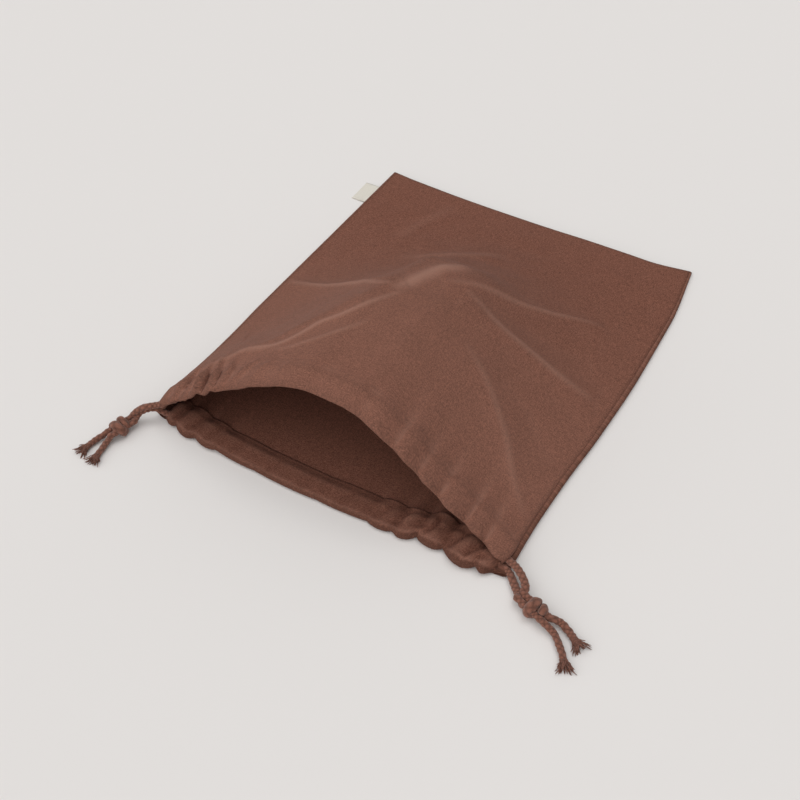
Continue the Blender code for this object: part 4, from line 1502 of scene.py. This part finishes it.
@dataclass
class Stitching:
    """A line of lock stitches on a panel."""

    long: float = 0.0023
    pitch: float = 0.0031
    wide: float = 0.00050
    high: float = 0.00038
    heading_reach: float = 0.0006
    stray: float = 0.00012

    def add_stitch(
        self, bm: bmesh.types.BMesh, place: Array, heading: Array, normal: Array, length: float,
    ) -> None:
        """Add one stitch.

        Args:
            bm: Mesh that takes it.
            place: Its middle.
            heading: The way that it runs.
            normal: The way out of the cloth.
            length: Its length.
        """
        heading, normal = Vector(heading).normalized(), Vector(normal).normalized()
        beside = normal.cross(heading).normalized()
        matrix = Matrix((heading, beside, normal)).transposed().to_4x4()
        matrix.translation = Vector(place)
        size = Matrix.Diagonal((length / 2, self.wide / 2, self.high / 2, 1.0))
        matrix = matrix @ size @ Matrix.Rotation(math.pi / 2, 4, "Y")
        bmesh.ops.create_uvsphere(bm, u_segments=8, v_segments=5, radius=1.0, matrix=matrix)

    def along_line(
        self, name: str, line: tuple[Array, Array], seed: int, finish: bpy.types.Material,
    ) -> bpy.types.Object:
        """Sew a line through points on the cloth.

        Args:
            name: Name of the piece.
            line: Points on the line, and the way out of the cloth at each.
            seed: Start of the random draws.
            finish: Finish of the thread.

        Returns:
            One piece with all the stitches.
        """
        rng = np.random.default_rng(seed)
        points, normals = line
        reach = reach_along(points)

        def read(values: Array, at: float) -> Array:
            """Read the values of the line at a distance from its start."""
            return np.array([np.interp(at, reach, part) for part in values.T])

        bm = bmesh.new()
        for spot in np.arange(self.pitch, reach[-1] - self.pitch, self.pitch):
            spot = spot + rng.normal(0, self.stray)
            start, end = (read(points, spot + way * self.heading_reach) for way in (-1, 1))
            length = self.long * rng.uniform(0.92, 1.06)
            self.add_stitch(bm, (start + end) / 2, end - start, read(normals, spot), length)
        return link_mesh(name, bm, finish)


@dataclass
class WovenTab:
    """The folded woven label that is caught in the left seam."""

    low_y: float = 0.140
    high_y: float = 0.167
    reach: float = 0.0140
    sheet: float = 0.00034
    apart: float = 0.00050
    seam_height: float = 0.0015
    tip_height: float = 0.0007
    slant: float = 0.0006
    spacing: float = 0.0006
    columns: int = 26
    rows: int = 27
    flat: tuple[float, float] = (0.027, 0.03)

    def build(self, finish: bpy.types.Material) -> bpy.types.Object:
        """Build the tape, out from the seam, folded over its end and back."""
        turn = np.linspace(0.0, math.pi, 7)[1:-1]
        way, full = np.linspace(0, 1, self.columns), np.ones(self.columns)
        out = np.concatenate((way, np.ones(len(turn)), way[::-1]))
        over = np.concatenate((full, np.cos(turn), -full))
        bulge = np.concatenate((full * 0, np.sin(turn), full * 0))
        out, y = np.meshgrid(out, np.linspace(self.low_y, self.high_y, self.rows))
        left, _ = OUTLINE.sides(y)
        x = left.x + 0.0004 - (self.reach + 0.0008) * out - bulge * self.apart * 0.8
        droop = smooth_step(0.0, 1.0, out)
        curl = self.slant * droop * ((y - self.low_y) / (self.high_y - self.low_y)) ** 2
        z = self.seam_height + (self.tip_height - self.seam_height) * droop
        z = z + over * self.apart / 2 + curl
        points = np.stack((x, y + self.slant * out, z), axis=-1)
        along = np.broadcast_to(np.arange(out.shape[1]) * self.spacing, out.shape)
        # Painted shade along the tape's two long edges.
        hemmed = np.exp(-np.minimum(y - self.low_y, self.high_y - y) / 0.0008)
        values = {Layer.PAINTED_SHADE: hemmed * 0.6}
        flat = np.stack((along, y), axis=-1)
        return make_sheet("woven_label", points, flat, values, self.sheet, finish)


@dataclass(frozen=True)
class Lamp:
    """A far, soft light: its strength, how wide it is in degrees, and where it stands."""

    name: str
    strength: float
    wide: float
    source: Point

    def build(self) -> bpy.types.Object:
        """Make the light, turned to the bag."""
        light = bpy.data.lights.new(self.name, "SUN")
        light.energy, light.angle = self.strength, math.radians(self.wide)
        lamp = bpy.data.objects.new(self.name, light)
        lamp.rotation_euler = Vector(self.source).to_track_quat("Z", "Y").to_euler()
        return lamp


@dataclass
class Studio:
    """Pale floor, soft light and the camera."""

    eye: Point = (0.319, -0.642, 0.637)
    azimuth: float = 28.7713
    tilt: float = 44.5
    lens: float = 52.92
    floor: float = 8.0
    sky: float = 0.37
    lamps: tuple[Lamp, ...] = (
        Lamp("front_softbox", 2.02, 110.0, (-0.26, -0.85, 0.88)),
        Lamp("top_window", 0.44, 30.0, (0.16, 0.36, 1.2)),
    )

    def build(self) -> None:
        """Make the floor, the lights and the camera."""
        bm = bmesh.new()
        bmesh.ops.create_grid(bm, x_segments=1, y_segments=1, size=self.floor / 2)
        floor = link_mesh("floor", bm, FloorFinish().material())
        scene = bpy.context.scene
        scene.world = bpy.data.worlds.new("studio")
        scene.world.use_nodes = True
        sky = scene.world.node_tree.nodes["Background"]
        sky.inputs["Color"].default_value = (1.0, 1.0, 1.0, 1.0)
        sky.inputs["Strength"].default_value = self.sky
        for lamp in self.lamps:
            scene.collection.objects.link(lamp.build())
        lens = bpy.data.cameras.new("camera")
        lens.lens, lens.sensor_width, lens.clip_start = self.lens, 36.0, 0.02
        camera = bpy.data.objects.new("camera", lens)
        camera.location = self.eye
        camera.rotation_euler = (math.radians(90 - self.tilt), 0.0, math.radians(self.azimuth))
        scene.collection.objects.link(camera)
        scene.camera = camera
        scene.view_settings.view_transform = "Standard"
        scene.view_settings.look = "None"


def dress(item: bpy.types.Object, nodes: Iterable[str] = ()) -> None:
    """Tie a piece to the part.

    Args:
        item: The piece.
        nodes: Solids that it stands for.
    """
    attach(item, BODY)
    if nodes:
        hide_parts(*nodes)


def make_cloth(thread: bpy.types.Material) -> None:
    """Build both panels and their stitching."""
    linen = LinenFinish().material()
    front = FrontPanel()
    cloth = front.build(linen)
    dress(cloth, ("front_panel",))
    share = np.linspace(-0.985, 0.985, 400)
    line = front.sewn_line(share, np.full_like(share, front.hem.depth + 0.0002))
    stitches = Stitching().along_line("front_hem_stitches", line, 21, thread)
    from_mouth = np.linspace(0.012, 0.03, 12)
    line = front.sewn_line(np.full_like(from_mouth, 0.972), from_mouth)
    tack = Stitching(pitch=0.0026).along_line("corner_tack", line, 22, thread)
    for sewing in (stitches, tack):
        dress(sewing)
    LOG.info("front panel: %d faces", len(cloth.data.polygons))
    back = BackPanel()
    cloth = back.build(linen)
    dress(cloth, ("back_panel",))
    LOG.info("back panel: %d faces", len(cloth.data.polygons))


def make_drawstrings() -> None:
    """Build the free cords, their frayed ends and the two knots."""
    finish = CordFinish().material()
    strings = Drawstrings()
    knots = {
        side: strings.knot(f"{side}_cord_knot", place, start, finish)
        for side, place, start in (("right", RIGHT_KNOT, 205.0), ("left", LEFT_KNOT, 40.0))
    }
    for side, knot in knots.items():
        dress(knot, (f"{side}_knot",))
    for seed, (run, cord, path) in enumerate(strings.build(finish)):
        fray = strings.fray(run, path, seed, finish)
        dress(cord, run.nodes)
        dress(fray)


def main() -> None:
    """Build every piece of the bag and the studio."""
    logging.basicConfig(level=logging.INFO, format="%(message)s")
    Studio().build()
    make_drawstrings()
    make_cloth(ThreadFinish().material())
    tab = WovenTab()
    label = tab.build(LabelFinish().material())
    dress(label, ("label",))
    LOG.info("label: %d faces", len(label.data.polygons))


if __name__ == "__main__":
    main()
